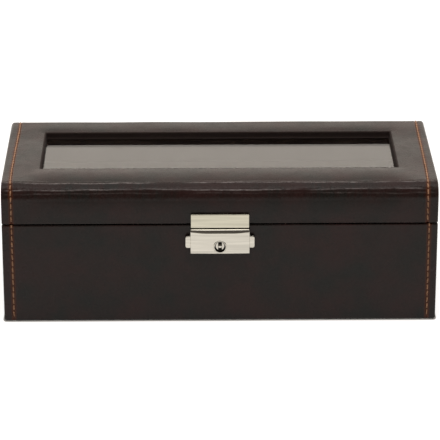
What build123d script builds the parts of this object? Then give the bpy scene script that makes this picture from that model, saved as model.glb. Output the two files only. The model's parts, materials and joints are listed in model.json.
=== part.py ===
"""Pocket watch display box: a board box covered in leatherette, with a glazed lid.

Axes: X to the right, Y to the back, Z up; the front of the box faces -Y.
Origin: the middle of the underside, on the surface that the box stands on.
All lengths are in millimetres and all angles in degrees.
"""
from build123d import *
import os

# Overall box, measured over the leatherette
width = 300.0
depth = 131.0
height = 100.0
seam_height = 71.5          # middle of the gap between base and lid
seam_gap = 0.8

# Thicknesses of the shell
leather = 1.0
board = 8.0
floor_board = 5.0
top_board = 4.0
liner = 1.0
rabbet = 4.0                # depth of the corner and floor joints in the boards

# Outer roundings
front_round = 11.5          # long bend from the lid's front to its top
back_round = 1.6
end_round = 2.0             # corners at both ends of the box
rim_round = 0.8             # leatherette folded over the rims and under the base

# Underside
turn_under = 12.0           # width of the leatherette folded under the base
felt_proud = 0.4            # how far the felt stands below the leatherette
felt_clearance = 0.5

# Window in the lid
window_side_margin = 26.3
window_front_margin = 35.3
window_back_margin = 21.6
window_corner = 1.5
window_edge_round = 0.7
glass = 2.5
glass_overlap = 5.0         # glass under the top board, past the leatherette's edge
glass_clearance = 0.3
frame_ledge = 4.5           # thickness of the retaining frame under the glass
frame_clearance = 0.2
frame_chamfer = 1.5
frame_screw_length = 9.5

# Trays and cushions
compartments = 5
divider = 3.0
divider_height = 56.6
cushion_height = 44.6
cushion_side_clearance = 0.5
cushion_end_clearance = 0.8
cushion_round = 12.0

# Hinges, let into the rims at the back
hinge_margin = 55.0         # from the end of the box to the middle of a hinge
hinge_length = 32.0
leaf_depth = 7.5
leaf_corner = 1.2
knuckle_radius = 2.0
knuckle_middle = 12.0       # length of the lid's knuckle between the base's two
knuckle_gap = 0.25
hinge_offset = 0.3          # gap between the knuckles and the back of the box
pin_radius = 0.9
pin_clearance = 0.05
pin_head_radius = 1.3
pin_head = 0.7
opening_angle = 95.0
heel_reach = 4.4            # from the hinge axis to the end of the stop heels
heel = 1.0
heel_gap = 0.15             # between the two heels when the lid stands open
pocket_clearance = 0.2

# Countersunk screws in hinges and retaining frame
screw_head_radius = 1.6
screw_head = 0.8
screw_radius = 0.75
screw_length = 7.0
screw_pitch = 10.5
screw_slot = 0.4
hole_clearance = 0.05

# Lock cover, pressed from sheet, on the front of the base
cover_width = 40.9
cover_height = 17.9
cover_depth = 4.6
cover_drop = 2.3           # from the seam down to the top of the cover
cover_sheet = 0.8
cover_top_round = 3.3
cover_edge_round = 0.9
cover_crown = 0.3           # bulge of its face between the two sides
back_plate = 0.8
plate_clearance = 0.2

# Hasp on the front of the lid
hasp_width = 40.1
hasp_height = 10.1
hasp_depth = 2.6
hasp_drop = 1.9             # from the seam down to the lower edge of the hasp
hasp_sheet = 0.6
hasp_round = 0.5
tongue = 1.0                # thickness of the tongue with its two legs
leg_inner = 10.0            # from the middle of the lock to the leg's inner side
leg_width = 3.0
leg_reach = 8.75             # from the top of the cover down to the tips of the legs
barb = 1.2
barb_height = 1.6
leg_swing = 0.9             # room in front of the legs, which swing forwards as they rise
leg_side_clearance = 0.4
stud_radius = 1.2
stud_collar_radius = 2.2
stud_spacing = 14.0
stud_length = 6.0           # in the lid's front board

# Catches, pressed inwards by the ears to free the hasp
catch_travel = 2.5
ear_reach = 3.4
ear_height = 8.8
ear_drop = 0.6              # ears below the middle of the cover
ear_thickness = 2.3
ear_corner = 1.4
ear_round = 0.6
ear_clearance = 0.25
catch_plate = 1.0
plate_gap = 0.2             # catches in front of the back plate
catch_arm = 1.6
catch_bar = 2.6
tooth_reach = 1.0
tooth_gap = 0.25            # between tooth and barb, sideways
tooth_height = 2.6
tip_gap = 0.4               # between the tips of the legs and the catches below them
tooth_rise = 0.3            # tooth above the barb
leg_outer_gap = 0.3

# Springs between the catches and a post in the middle
spring_radius = 0.8
spring_wire = 0.34
spring_turns = 4.5
spring_gap = 0.1            # springs in front of the back plate
spring_drop = 6.55           # from the top of the cover down to the springs
post_width = 2.4
post_height = 2.8

# Key barrel, its fixed pin and its cam
key_drop = 3.7              # from the middle of the cover down to the barrel
barrel_radius = 2.9
barrel_clearance = 1.0
barrel_inset = 1.7          # front of the barrel behind the front of the cover
barrel_length = 1.0
barrel_tail_radius = 1.9
keyhole_rim = 0.6
keyhole_proud = 0.4
keyhole_round = 0.25
keyhole_sleeve = 1.2        # from the front of the cover to the inner end of the keyhole's sleeve
key_slot_width = 2.7
key_slot_depth = 0.8
key_pin_radius = 1.2
key_pin_inset = 0.3
key_pin_flat = 0.8          # half the height of the pin's flattened end
key_pin_round = 0.15
cam_reach = 2.8
cam_width = 1.9
cam = 0.8

# Lock screws
lock_screw_spacing = 31.2
lock_screw_edge = 3.15       # from the cover's upper and lower edge to the screws
lock_screw_radius = 0.9
lock_screw_head_radius = 1.5
lock_screw_head = 1.0
lock_screw_length = 6.0

# Places worked out from the sizes above
front_y = -depth / 2
back_y = depth / 2
base_top = seam_height - seam_gap / 2
lid_bottom = seam_height + seam_gap / 2
base_board_bottom = felt_proud + leather
base_board_top = base_top - leather
lid_board_bottom = lid_bottom + leather
lid_board_top = height - leather
top_board_bottom = lid_board_top - top_board
glass_bottom = top_board_bottom - glass
frame_bottom = glass_bottom - frame_ledge
floor_top = base_board_bottom + floor_board
liner_floor = floor_top + liner
board_x = width / 2 - leather
board_y = depth / 2 - leather
inner_x = board_x - board
inner_y = board_y - board
clear_x = inner_x - liner
clear_y = inner_y - liner
window_x = width / 2 - window_side_margin
window_y0 = front_y + window_front_margin
window_y1 = back_y - window_back_margin
hinge_x = width / 2 - hinge_margin
hinge_y = back_y + hinge_offset + knuckle_radius
cover_top = seam_height - cover_drop
cover_bottom = cover_top - cover_height
cover_middle = (cover_top + cover_bottom) / 2
cover_front = front_y - cover_depth
plate_front = front_y - back_plate
catch_back = plate_front - plate_gap
catch_front = catch_back - catch_plate
leg_tip = cover_top - leg_reach
catch_inner = leg_inner - barb - tooth_gap - tooth_reach - catch_arm
key_z = cover_middle - key_drop
spring_z = cover_top - spring_drop


def block(x0, x1, y0, y1, z0, z1):
    """Block between two opposite corners."""
    middle = Pos((x0 + x1) / 2, (y0 + y1) / 2, (z0 + z1) / 2)
    return middle * Box(x1 - x0, y1 - y0, z1 - z0)


def rod(x, z, radius, y0, y1):
    """Round rod along Y between y0 and y1."""
    turned = Rot(X=90) * Cylinder(radius, abs(y1 - y0))
    return Pos(x, (y0 + y1) / 2, z) * turned


def plate(points, y0, y1):
    """Flat plate with the outline of (x, z) points, between y0 and y1."""
    outline = make_face(Polyline(*[(x, 0, z) for x, z in points], close=True))
    solid = extrude(outline, amount=abs(y1 - y0), dir=(0, -1, 0))
    return Pos(0, max(y0, y1), 0) * solid


def prism(points, z0, z1):
    """Upright prism on an outline of (x, y) points."""
    return Pos(0, 0, z0) * extrude(make_face(Polyline(*points, close=True)), amount=z1 - z0)


def mirrored(shape):
    """The same shape on the other side of the middle plane."""
    return mirror(shape, about=Plane.YZ)


def save(name, shape):
    """Write one piece, or one group of like pieces, as its own file."""
    shape.label = name
    export_step(shape, os.path.join("parts", name + ".step"))


# ---------------------------------------------------------------- base of the box

def base_envelope():
    """Base over its leatherette: round corners, folded edges."""
    body = block(-width / 2, width / 2, front_y, back_y, felt_proud, base_top)
    body = fillet(body.edges().filter_by(Axis.Z), end_round)
    rims = body.edges().group_by(Axis.Z)
    return fillet(rims[0] + rims[-1], rim_round)


def end_sector(z0, z1):
    """Plan of what the right-hand end cover takes of the leatherette, mitred at the rims."""
    reach = board + leather + turn_under
    x, y, out = board_x, board_y, width
    points = [(out, -y), (out, y), (x, y), (x - reach, y - reach), (x - reach, reach - y), (x, -y)]
    return prism(points, z0, z1)


def base_boards():
    """Floor board and four walls, joined by rabbets."""
    low, high = base_board_bottom, base_board_top
    floor = block(-inner_x - rabbet, inner_x + rabbet, -inner_y - rabbet, inner_y + rabbet,
                  low, floor_top)
    right = block(inner_x, board_x, -inner_y - rabbet, inner_y + rabbet, low, high) - floor
    left = mirrored(right)
    front = block(-board_x, board_x, -board_y, -inner_y, low, high) - floor
    front -= block(inner_x, board_x, -inner_y - rabbet, -inner_y, low, high)
    front -= block(-board_x, -inner_x, -inner_y - rabbet, -inner_y, low, high)
    back = mirror(front, about=Plane.XZ)
    front -= lock_screws(hole_clearance)
    back -= hinge_screws(-1, hole_clearance)
    return {"floor": floor, "front": front, "back": back, "left": left, "right": right}


def base_covers():
    """Leatherette on the base: four pieces folded over the rim and under the floor."""
    skin = base_envelope()
    skin -= block(-board_x, board_x, -board_y, board_y, base_board_bottom, base_board_top)
    skin -= block(-inner_x, inner_x, -inner_y, inner_y, 0, height)
    skin += block(-inner_x, inner_x, -inner_y, inner_y, felt_proud, base_board_bottom)
    hole_x, hole_y = width / 2 - turn_under, depth / 2 - turn_under
    skin -= block(-hole_x, hole_x, -hole_y, hole_y, 0, base_board_bottom)
    right = skin & end_sector(0, height)
    left = mirrored(right)
    middle = skin - end_sector(0, height) - mirrored(end_sector(0, height))
    front = middle & block(-width, width, -depth, 0, 0, height)
    back = middle & block(-width, width, 0, depth, 0, height)
    front -= lock_screws(hole_clearance)
    for side in (-1, 1):
        back -= hinge_pocket(side, base_board_top, base_top)
    return {"front": front, "back": back, "left": left, "right": right}


def underfelt():
    """Felt pad inside the folded leatherette, which carries the box."""
    x = width / 2 - turn_under - felt_clearance
    y = depth / 2 - turn_under - felt_clearance
    return block(-x, x, -y, y, 0, base_board_bottom)


def base_liner():
    """Velour tray over the floor and up the inner walls."""
    tray = block(-inner_x, inner_x, -inner_y, inner_y, floor_top, base_top)
    return tray - block(-clear_x, clear_x, -clear_y, clear_y, liner_floor, height)


def compartment_width():
    """Clear width between two dividers."""
    return (2 * clear_x - (compartments - 1) * divider) / compartments


def dividers():
    """Upright boards between the compartments, with rounded upper edges."""
    pieces = []
    for number in range(1, compartments):
        x = -clear_x + number * compartment_width() + (number - 1) * divider
        piece = block(x, x + divider, -clear_y, clear_y, liner_floor, liner_floor + divider_height)
        upper = piece.edges().filter_by(Axis.Y).group_by(Axis.Z)[-1]
        pieces.append(fillet(upper, divider * 0.45))
    return pieces


def cushions():
    """One soft block in each compartment, standing on the liner."""
    half = compartment_width() / 2 - cushion_side_clearance
    reach = clear_y - cushion_end_clearance
    pieces = []
    for number in range(compartments):
        x = -clear_x + compartment_width() / 2 + number * (compartment_width() + divider)
        piece = block(x - half, x + half, -reach, reach, liner_floor, liner_floor + cushion_height)
        pieces.append(fillet(piece.edges().filter_by(Axis.Y), cushion_round))
    return pieces


# ---------------------------------------------------------------- lid

def lid_form(inset, bottom):
    """Closed lid form, `inset` inside the leatherette's outer faces."""
    x, y = width / 2 - inset, depth / 2 - inset
    form = block(-x, x, -y, y, bottom, height - inset)
    upper = form.edges().filter_by(Axis.X).group_by(Axis.Z)[-1].sort_by(Axis.Y)
    form = fillet(upper[0], front_round - inset)
    upper = form.edges().filter_by(Axis.X).filter_by(lambda edge: edge.center().Y > y - 0.01)
    return fillet(upper.sort_by(Axis.Z)[-1], back_round - inset)


def lid_envelope():
    """Lid over its leatherette: rounded ends and folded rim."""
    form = lid_form(0, lid_bottom)
    ends = form.edges().filter_by(lambda edge: abs(edge.center().X) > width / 2 - 0.01)
    form = fillet(ends.filter_by(lambda edge: edge.center().Z > lid_bottom + 0.01), end_round)
    return fillet(form.edges().group_by(Axis.Z)[0], rim_round)


def window(grow, z0, z1):
    """Upright block of the window opening, widened by `grow` on each side."""
    hole = block(-window_x - grow, window_x + grow, window_y0 - grow, window_y1 + grow, z0, z1)
    return fillet(hole.edges().filter_by(Axis.Z), window_corner + grow)


def lid_boards():
    """Frame of the lid: rounded front rail, three walls and the top with its opening."""
    low, high = lid_board_bottom, top_board_bottom
    seat = -board_y + front_round - leather + rabbet
    right = block(inner_x, board_x, -inner_y - rabbet, inner_y + rabbet, low, high)
    left = mirrored(right)
    form = lid_form(leather, low)
    front = form & block(-width, width, -depth, -inner_y, low, height)
    front += form & block(-width, width, -inner_y, seat, high, height)
    front = front - right - left - hasp_studs(hole_clearance)
    back = block(-board_x, board_x, inner_y, board_y, low, high) - right - left
    back -= hinge_screws(1, hole_clearance)
    top = form & block(-width, width, seat, depth, high, height)
    top -= window(leather, high, height)
    top -= frame_screws(hole_clearance)
    return {"top": top, "front": front, "back": back, "left": left, "right": right}


def lid_covers():
    """Leatherette on the lid: one long wrap with the window, and two end pieces."""
    skin = lid_envelope() - lid_form(leather, lid_board_bottom)
    skin -= block(-inner_x, inner_x, -inner_y, inner_y, lid_bottom, lid_board_bottom)
    skin += window(leather, top_board_bottom, lid_board_top)
    skin -= window(0, top_board_bottom, height)
    mouth = skin.edges().filter_by(Plane.XY).group_by(Axis.Z)[-1]
    inside = mouth.filter_by(lambda edge: abs(edge.center().X) < window_x + 0.01
                             and window_y0 - 0.01 < edge.center().Y < window_y1 + 0.01)
    skin = fillet(inside, window_edge_round)
    sector = end_sector(lid_bottom, height) & lid_form_long(leather)
    right = skin & sector
    left = mirrored(right)
    wrap = skin - sector - mirrored(sector) - hasp_studs(hole_clearance)
    for side in (-1, 1):
        wrap -= hinge_pocket(side, lid_bottom, lid_board_bottom)
    return {"wrap": wrap, "left": left, "right": right}


def lid_form_long(inset):
    """Lid form drawn out past both ends and down to the rim."""
    form = lid_form(inset, lid_bottom)
    end = form.faces().sort_by(Axis.X)[-1]
    return form + extrude(end, amount=leather + end_round)


def glass_pane():
    """Glass against the underside of the top board."""
    grow = glass_overlap
    return block(-window_x - grow, window_x + grow, window_y0 - grow, window_y1 + grow,
                 glass_bottom, top_board_bottom)


def glass_frame():
    """Retaining frame that holds the glass from below and round its edges."""
    x, y = inner_x - frame_clearance, inner_y - frame_clearance
    frame = block(-x, x, -y, y, frame_bottom, top_board_bottom)
    frame -= window(0, frame_bottom, top_board_bottom)
    lower = frame.faces().sort_by(Axis.Z)[0].inner_wires()[0].edges()
    frame = chamfer(lower, frame_chamfer)
    grow = glass_overlap + glass_clearance
    frame -= block(-window_x - grow, window_x + grow, window_y0 - grow, window_y1 + grow,
                   glass_bottom, top_board_bottom)
    return frame - frame_screws(hole_clearance)


def frame_screws(grow=0.0):
    """Screws up through the retaining frame into the top board."""
    edge = (inner_x + window_x + glass_overlap) / 2
    screws = []
    for x in (-edge, edge):
        for y in (window_y0, window_y1):
            place = Pos(x, y, frame_bottom)
            screws.append(place * countersunk_screw(frame_screw_length, grow))
    return Compound(children=screws)


def lid_liner():
    """Velour band round the inner walls of the lid, under the retaining frame."""
    band = block(-inner_x, inner_x, -inner_y, inner_y, lid_bottom, frame_bottom)
    return band - block(-clear_x, clear_x, -clear_y, clear_y, 0, height)


# ---------------------------------------------------------------- hinges

def countersunk_screw(length, grow=0.0):
    """Screw whose head face lies at Z 0 and whose shank points up; `grow` makes its hole."""
    head = Pos(0, 0, screw_head / 2) * Cone(screw_head_radius + grow, screw_radius + grow, screw_head)
    shank = Pos(0, 0, length / 2) * Cylinder(screw_radius + grow, length)
    screw = head + shank
    if grow == 0:
        screw -= block(-width, width, -screw_slot / 2, screw_slot / 2, 0, screw_slot)
    return screw


def hinge_screws(side, grow=0.0):
    """Six screws in the lid's leaves (side 1) or in the base's leaves (side -1)."""
    start = lid_bottom if side > 0 else base_top
    y = back_y - leaf_depth / 2
    screws = []
    for hinge in (-1, 1):
        for step in (-1, 0, 1):
            screw = countersunk_screw(screw_length, grow)
            if side < 0:
                screw = Rot(X=180) * screw
            screws.append(Pos(hinge * hinge_x + step * screw_pitch, y, start) * screw)
    return Compound(children=screws)


def hinge_pocket(side, z0, z1):
    """Room in the rim's leatherette for one leaf of a hinge."""
    x = side * hinge_x
    half = hinge_length / 2 + pocket_clearance
    y0 = back_y - leaf_depth - pocket_clearance
    return block(x - half, x + half, y0, back_y + leather, z0, z1)


def knuckle(x0, x1):
    """One knuckle of a hinge about the hinge axis."""
    turned = Rot(Y=90) * Cylinder(knuckle_radius, x1 - x0)
    return Pos((x0 + x1) / 2, hinge_y, seam_height) * turned


def heel_plate(x0, x1, r0, r1, t0, t1, angle):
    """Plate out from the hinge axis at `angle` above level, between radii r0 and r1."""
    flat = block(x0, x1, r0, r1, t0, t1)
    return Pos(0, hinge_y, seam_height) * (Rot(X=angle) * flat)


def leaf_sheet(x0, x1, z0, z1):
    """Flat leaf on a rim, with rounded inner corners."""
    sheet = block(x0, x1, back_y - leaf_depth, back_y, z0, z1)
    inner = sheet.edges().filter_by(Axis.Z).group_by(Axis.Y)[0]
    return fillet(inner, leaf_corner)


def hinge_base_leaf(side):
    """Lower leaf with the two outer knuckles and the stop heel that joins them."""
    x = side * hinge_x
    half, middle = hinge_length / 2, knuckle_middle / 2 + knuckle_gap
    leaf = leaf_sheet(x - half, x + half, base_board_top, base_top)
    angle = -opening_angle / 2
    bridge = knuckle_radius + knuckle_gap
    leaf += heel_plate(x - half, x + half, bridge, heel_reach, -heel, 0, angle)
    for x0, x1 in ((x - half, x - middle), (x + middle, x + half)):
        leaf += block(x0, x1, back_y - leaf_corner, hinge_y, base_board_top, base_top)
        leaf += knuckle(x0, x1)
        leaf += heel_plate(x0, x1, pin_radius, heel_reach, -heel, 0, angle)
    leaf -= hinge_bore(x)
    return leaf - hinge_screws(-1, hole_clearance)


def hinge_lid_leaf(side):
    """Upper leaf with the middle knuckle and its stop heel."""
    x = side * hinge_x
    half, middle = hinge_length / 2, knuckle_middle / 2
    leaf = leaf_sheet(x - half, x + half, lid_bottom, lid_board_bottom)
    leaf += block(x - middle, x + middle, back_y - leaf_corner, hinge_y, lid_bottom, lid_board_bottom)
    leaf += knuckle(x - middle, x + middle)
    angle = opening_angle / 2
    leaf += heel_plate(x - middle, x + middle, pin_radius, heel_reach, heel_gap, heel_gap + heel, angle)
    leaf -= hinge_bore(x)
    return leaf - hinge_screws(1, hole_clearance)


def hinge_bore(x):
    """Bore for the pin through all the knuckles."""
    turned = Rot(Y=90) * Cylinder(pin_radius + pin_clearance, 2 * hinge_length)
    return Pos(x, hinge_y, seam_height) * turned


def hinge_pin(side):
    """Pin with a low head at each end."""
    x = side * hinge_x
    half = hinge_length / 2
    pin = Cylinder(pin_radius, hinge_length)
    for end in (-1, 1):
        head = Cylinder(pin_head_radius, pin_head)
        pin += Pos(0, 0, end * (half + pin_head / 2)) * head
    return Pos(x, hinge_y, seam_height) * (Rot(Y=90) * pin)


# ---------------------------------------------------------------- lock

def cover_block(inset):
    """Form of the lock cover, `inset` inside its outer faces, open towards the box."""
    x = cover_width / 2 - inset
    z0, z1 = cover_bottom + inset, cover_top - inset
    y_middle, y_end = cover_front + inset, cover_front + cover_crown + inset
    base = Pos(0, 0, z0)
    line = Line((x, y_end), (x, front_y)) + Line((x, front_y), (-x, front_y))
    line += Line((-x, front_y), (-x, y_end))
    line += ThreePointArc((-x, y_end), (0, y_middle), (x, y_end))
    body = base * extrude(make_face(line), amount=z1 - z0)
    front = body.faces().sort_by(Axis.Y)[0]
    top = front.edges().sort_by(Axis.Z)[-1]
    body = fillet(top, cover_top_round - inset)
    front = body.faces().sort_by(Axis.Y)[0]
    if inset > 0:
        return body
    sides = body.edges().filter_by(Axis.Z).group_by(Axis.Y)[0]
    bottom = front.edges().sort_by(Axis.Z)[0]
    return fillet(sides + ShapeList([bottom]), cover_edge_round)


def lock_cover():
    """Pressed cover with notches for the hasp's legs, slots for the ears and the keyhole."""
    cover = cover_block(0) - cover_block(cover_sheet)
    y = catch_front - leg_swing
    notch = block(leg_inner - barb - leg_side_clearance, leg_inner + leg_width + leg_side_clearance,
                  y, front_y, cover_middle, cover_top)
    ear_z = cover_middle - ear_drop
    half = ear_height / 2 + ear_clearance
    slot = block(cover_width / 2 - 2 * cover_sheet, cover_width, catch_back - ear_thickness - ear_clearance,
                 front_y, ear_z - half, ear_z + half)
    for cut in (notch, slot):
        cover = cover - cut - mirrored(cut)
    rim = rod(0, key_z, barrel_radius + barrel_clearance + keyhole_rim,
              cover_front - keyhole_proud, cover_front + keyhole_sleeve)
    cover += fillet(rim.edges().group_by(Axis.Y)[0], keyhole_round)
    cover -= rod(0, key_z, barrel_radius + barrel_clearance, cover_front - depth, front_y)
    return cover


def lock_back_plate():
    """Plate behind the catches, screwed to the base's front board."""
    inset = cover_sheet + plate_clearance
    x = cover_width / 2 - inset
    body = block(-x, x, plate_front, front_y, cover_bottom + inset, cover_top - inset)
    return body - lock_screws(hole_clearance)


def lock_screws(grow=0.0):
    """Four pan-headed screws in the corners of the back plate."""
    screws = []
    for x in (-lock_screw_spacing / 2, lock_screw_spacing / 2):
        for z in (cover_bottom + lock_screw_edge, cover_top - lock_screw_edge):
            shank = rod(x, z, lock_screw_radius + grow, plate_front, front_y + leather + lock_screw_length)
            if grow == 0:
                head = rod(x, z, lock_screw_head_radius, plate_front - lock_screw_head, plate_front)
                outer = head.edges().group_by(Axis.Y)[0]
                shank += chamfer(outer, lock_screw_head / 2)
            screws.append(shank)
    return Compound(children=screws)


def spring_post():
    """Block between back plate and cover, against which both springs push."""
    z0 = spring_z - post_height / 2
    return block(-post_width / 2, post_width / 2, cover_front + cover_sheet, plate_front,
                 z0, z0 + post_height)


def catch_right():
    """Catch with its ear, a bar under the hasp's leg, an arm and a tooth over the barb."""
    x0 = catch_inner
    x1 = x0 + catch_arm
    tip = x1 + tooth_reach
    x2 = leg_inner + leg_width + leg_outer_gap + catch_travel
    x3 = cover_width / 2 - cover_sheet
    bar_top = leg_tip - tip_gap
    bar_bottom = bar_top - catch_bar
    tooth_low = leg_tip + barb_height + tooth_rise
    tooth_high = tooth_low + tooth_height
    arm_high = cover_middle - ear_drop + ear_height / 2 - ear_round
    points = [(x0, bar_bottom), (x3, bar_bottom), (x3, arm_high), (x2, arm_high), (x2, bar_top),
              (x1, bar_top), (x1, tooth_low), (tip, tooth_low), (tip, tooth_low + tooth_rise),
              (x1, tooth_high), (x0, tooth_high)]
    body = plate(points, catch_back, catch_front)
    ear_z = cover_middle - ear_drop
    ear = block(x3, cover_width / 2 + ear_reach, catch_back - ear_thickness, catch_back,
                ear_z - ear_height / 2, ear_z + ear_height / 2)
    ear = fillet(ear.edges().filter_by(Axis.Y).group_by(Axis.X)[-1], ear_corner)
    front = ear.faces().sort_by(Axis.Y)[0]
    rims = front.edges().filter_by(lambda edge: edge.center().X > x3 + 0.01)
    return body + fillet(rims, ear_round)


def catch_spring(side):
    """Compression spring between the post and a catch's arm."""
    start = post_width / 2 + spring_wire / 2
    length = catch_inner - spring_wire / 2 - start
    y = plate_front - spring_gap - spring_wire / 2 - spring_radius
    coil = Helix(pitch=length / spring_turns, height=length, radius=spring_radius)
    section = Plane(origin=coil @ 0, z_dir=coil % 0) * RegularPolygon(spring_wire / 2, 6)
    spring = sweep(section, path=coil, is_frenet=True)
    spring = Pos(start, y, spring_z) * (Rot(Y=90) * spring)
    return spring if side > 0 else mirrored(spring)


def key_barrel():
    """Barrel with a keyway across its face, a tail round the fixed pin and the cam on the tail."""
    front = cover_front + barrel_inset
    rear = front + barrel_length
    barrel = rod(0, key_z, barrel_radius, front, rear)
    barrel += rod(0, key_z, barrel_tail_radius, rear, catch_back)
    half = key_slot_width / 2
    barrel -= block(-half, half, front, front + key_slot_depth, key_z - barrel_radius, key_z + barrel_radius)
    cam_bar = block(-cam_width / 2, cam_width / 2, catch_front, catch_front + cam,
                    key_z - cam_reach, key_z + cam_reach)
    barrel += cam_bar
    return barrel - rod(0, key_z, key_pin_radius + pin_clearance, cover_front, front_y)


def key_pin():
    """Fixed pin on the back plate, with a flattened end in the middle of the keyway."""
    front = cover_front + key_pin_inset
    pin = rod(0, key_z, key_pin_radius, front, plate_front)
    flat_end = cover_front + barrel_inset + key_slot_depth
    for side in (-1, 1):
        low, high = sorted((key_z + side * key_pin_flat, key_z + side * key_pin_radius))
        pin -= block(-key_pin_radius, key_pin_radius, front, flat_end, low, high)
    return fillet(pin.edges().group_by(Axis.Y)[0], key_pin_round)


# ---------------------------------------------------------------- hasp

def hasp_plate():
    """Pressed plate on the front of the lid, open at the back and below."""
    z0 = seam_height - hasp_drop
    z1 = z0 + hasp_height
    y = front_y - hasp_depth
    x = hasp_width / 2
    body = block(-x, x, y, front_y, z0, z1)
    body = fillet(body.edges().filter_by(Axis.Y), hasp_round)
    body = fillet(body.faces().sort_by(Axis.Y)[0].edges(), hasp_round)
    s = hasp_sheet
    body -= block(s - x, x - s, y + s, front_y, z0 + s, z1 - s)
    mouth = leg_inner + leg_width + leg_side_clearance
    return body - block(-mouth, mouth, y + s, front_y, z0, z0 + s)


def hasp_tongue():
    """Tongue inside the hasp plate, with two barbed legs that drop into the lock."""
    low = seam_height - hasp_drop + hasp_sheet
    high = seam_height - hasp_drop + hasp_height - hasp_sheet
    outer = leg_inner + leg_width
    hook = leg_tip + barb_height
    right = [(outer, leg_tip), (outer, high)]
    left = [(-x, z) for x, z in reversed(right)]
    inside = [(leg_inner, low), (leg_inner, hook), (leg_inner - barb, hook),
              (leg_inner - barb, hook - tooth_rise), (leg_inner, leg_tip)]
    points = right + left + [(-x, z) for x, z in reversed(inside)] + inside
    y = front_y - hasp_depth + hasp_sheet
    return plate(points, y, y + tongue) - hasp_studs(hole_clearance)


def hasp_studs(grow=0.0):
    """Two shouldered studs that hold hasp and tongue on the lid's front board."""
    tongue_front = front_y - hasp_depth + hasp_sheet
    tongue_back = tongue_front + tongue
    z = seam_height - hasp_drop + hasp_height / 2
    studs = []
    for x in (-stud_spacing / 2, stud_spacing / 2):
        stud = rod(x, z, stud_radius + grow, tongue_front, front_y + leather + stud_length)
        if grow == 0:
            stud += rod(x, z, stud_collar_radius, tongue_back, front_y)
        studs.append(stud)
    return Compound(children=studs)


def main():
    """Write every piece to the folder of parts."""
    os.makedirs("parts", exist_ok=True)
    for name, piece in base_boards().items():
        save("base_" + name + "_board", piece)
    for name, piece in base_covers().items():
        save("base_" + name + "_cover", piece)
    save("base_underfelt", underfelt())
    save("base_liner", base_liner())
    for number, piece in enumerate(dividers(), 1):
        save("divider_" + str(number), piece)
    for number, piece in enumerate(cushions(), 1):
        save("cushion_" + str(number), piece)
    for name, piece in lid_boards().items():
        save("lid_" + name + "_board", piece)
    for name, piece in lid_covers().items():
        save("lid_wrap" if name == "wrap" else "lid_" + name + "_cover", piece)
    save("lid_liner", lid_liner())
    save("glass_pane", glass_pane())
    save("glass_frame", glass_frame())
    save("glass_frame_screws", frame_screws())
    for name, side in (("left", -1), ("right", 1)):
        save("hinge_base_leaf_" + name, hinge_base_leaf(side))
        save("hinge_lid_leaf_" + name, hinge_lid_leaf(side))
        save("hinge_pin_" + name, hinge_pin(side))
        save("catch_spring_" + name, catch_spring(side))
    save("hinge_base_screws", hinge_screws(-1))
    save("hinge_lid_screws", hinge_screws(1))
    save("lock_back_plate", lock_back_plate())
    save("lock_cover", lock_cover())
    save("lock_screws", lock_screws())
    save("spring_post", spring_post())
    save("catch_right", catch_right())
    save("catch_left", mirrored(catch_right()))
    save("key_barrel", key_barrel())
    save("key_pin", key_pin())
    save("hasp_plate", hasp_plate())
    save("hasp_tongue", hasp_tongue())
    save("hasp_studs", hasp_studs())


main()
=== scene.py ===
"""Watch display box dressed in stitched leatherette, with a glazed lid, cushions and a nickel lock.

The file is laid out as a Blender add-on: settings, one operator for each group of pieces and one for
the stage, and a panel that lists them. All lengths are in metres. The front of the box faces -Y.
"""
import json
import math

import bmesh
import bpy
import numpy as np
from bpy.props import FloatProperty, FloatVectorProperty, IntProperty, PointerProperty
from bpy.types import Operator, Panel, PropertyGroup
from mathutils import Matrix, Vector


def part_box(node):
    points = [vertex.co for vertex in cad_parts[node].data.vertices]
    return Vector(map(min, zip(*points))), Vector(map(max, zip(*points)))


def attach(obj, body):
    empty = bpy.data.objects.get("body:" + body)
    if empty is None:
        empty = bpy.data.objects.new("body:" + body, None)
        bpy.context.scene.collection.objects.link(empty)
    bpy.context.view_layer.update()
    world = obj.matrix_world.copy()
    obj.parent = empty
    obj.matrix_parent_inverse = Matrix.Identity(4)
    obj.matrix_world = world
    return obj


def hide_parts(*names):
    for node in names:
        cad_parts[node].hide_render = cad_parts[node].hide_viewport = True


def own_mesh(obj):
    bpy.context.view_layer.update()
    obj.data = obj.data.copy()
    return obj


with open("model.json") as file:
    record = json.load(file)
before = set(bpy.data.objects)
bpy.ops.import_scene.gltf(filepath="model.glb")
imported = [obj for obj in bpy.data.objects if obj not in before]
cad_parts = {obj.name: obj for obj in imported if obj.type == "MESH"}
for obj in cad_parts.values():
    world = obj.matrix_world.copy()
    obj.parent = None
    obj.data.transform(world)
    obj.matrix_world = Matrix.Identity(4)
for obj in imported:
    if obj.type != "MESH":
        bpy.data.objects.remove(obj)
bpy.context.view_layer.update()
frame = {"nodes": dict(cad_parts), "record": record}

bl_info = {
    "name": "Watch display box",
    "version": (1, 0, 0),
    "blender": (4, 5, 0),
    "location": "3D View > Sidebar > Watch box",
    "description": "Dresses a glazed display box in leatherette, thread, velour and nickel",
    "category": "Object",
}

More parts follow.
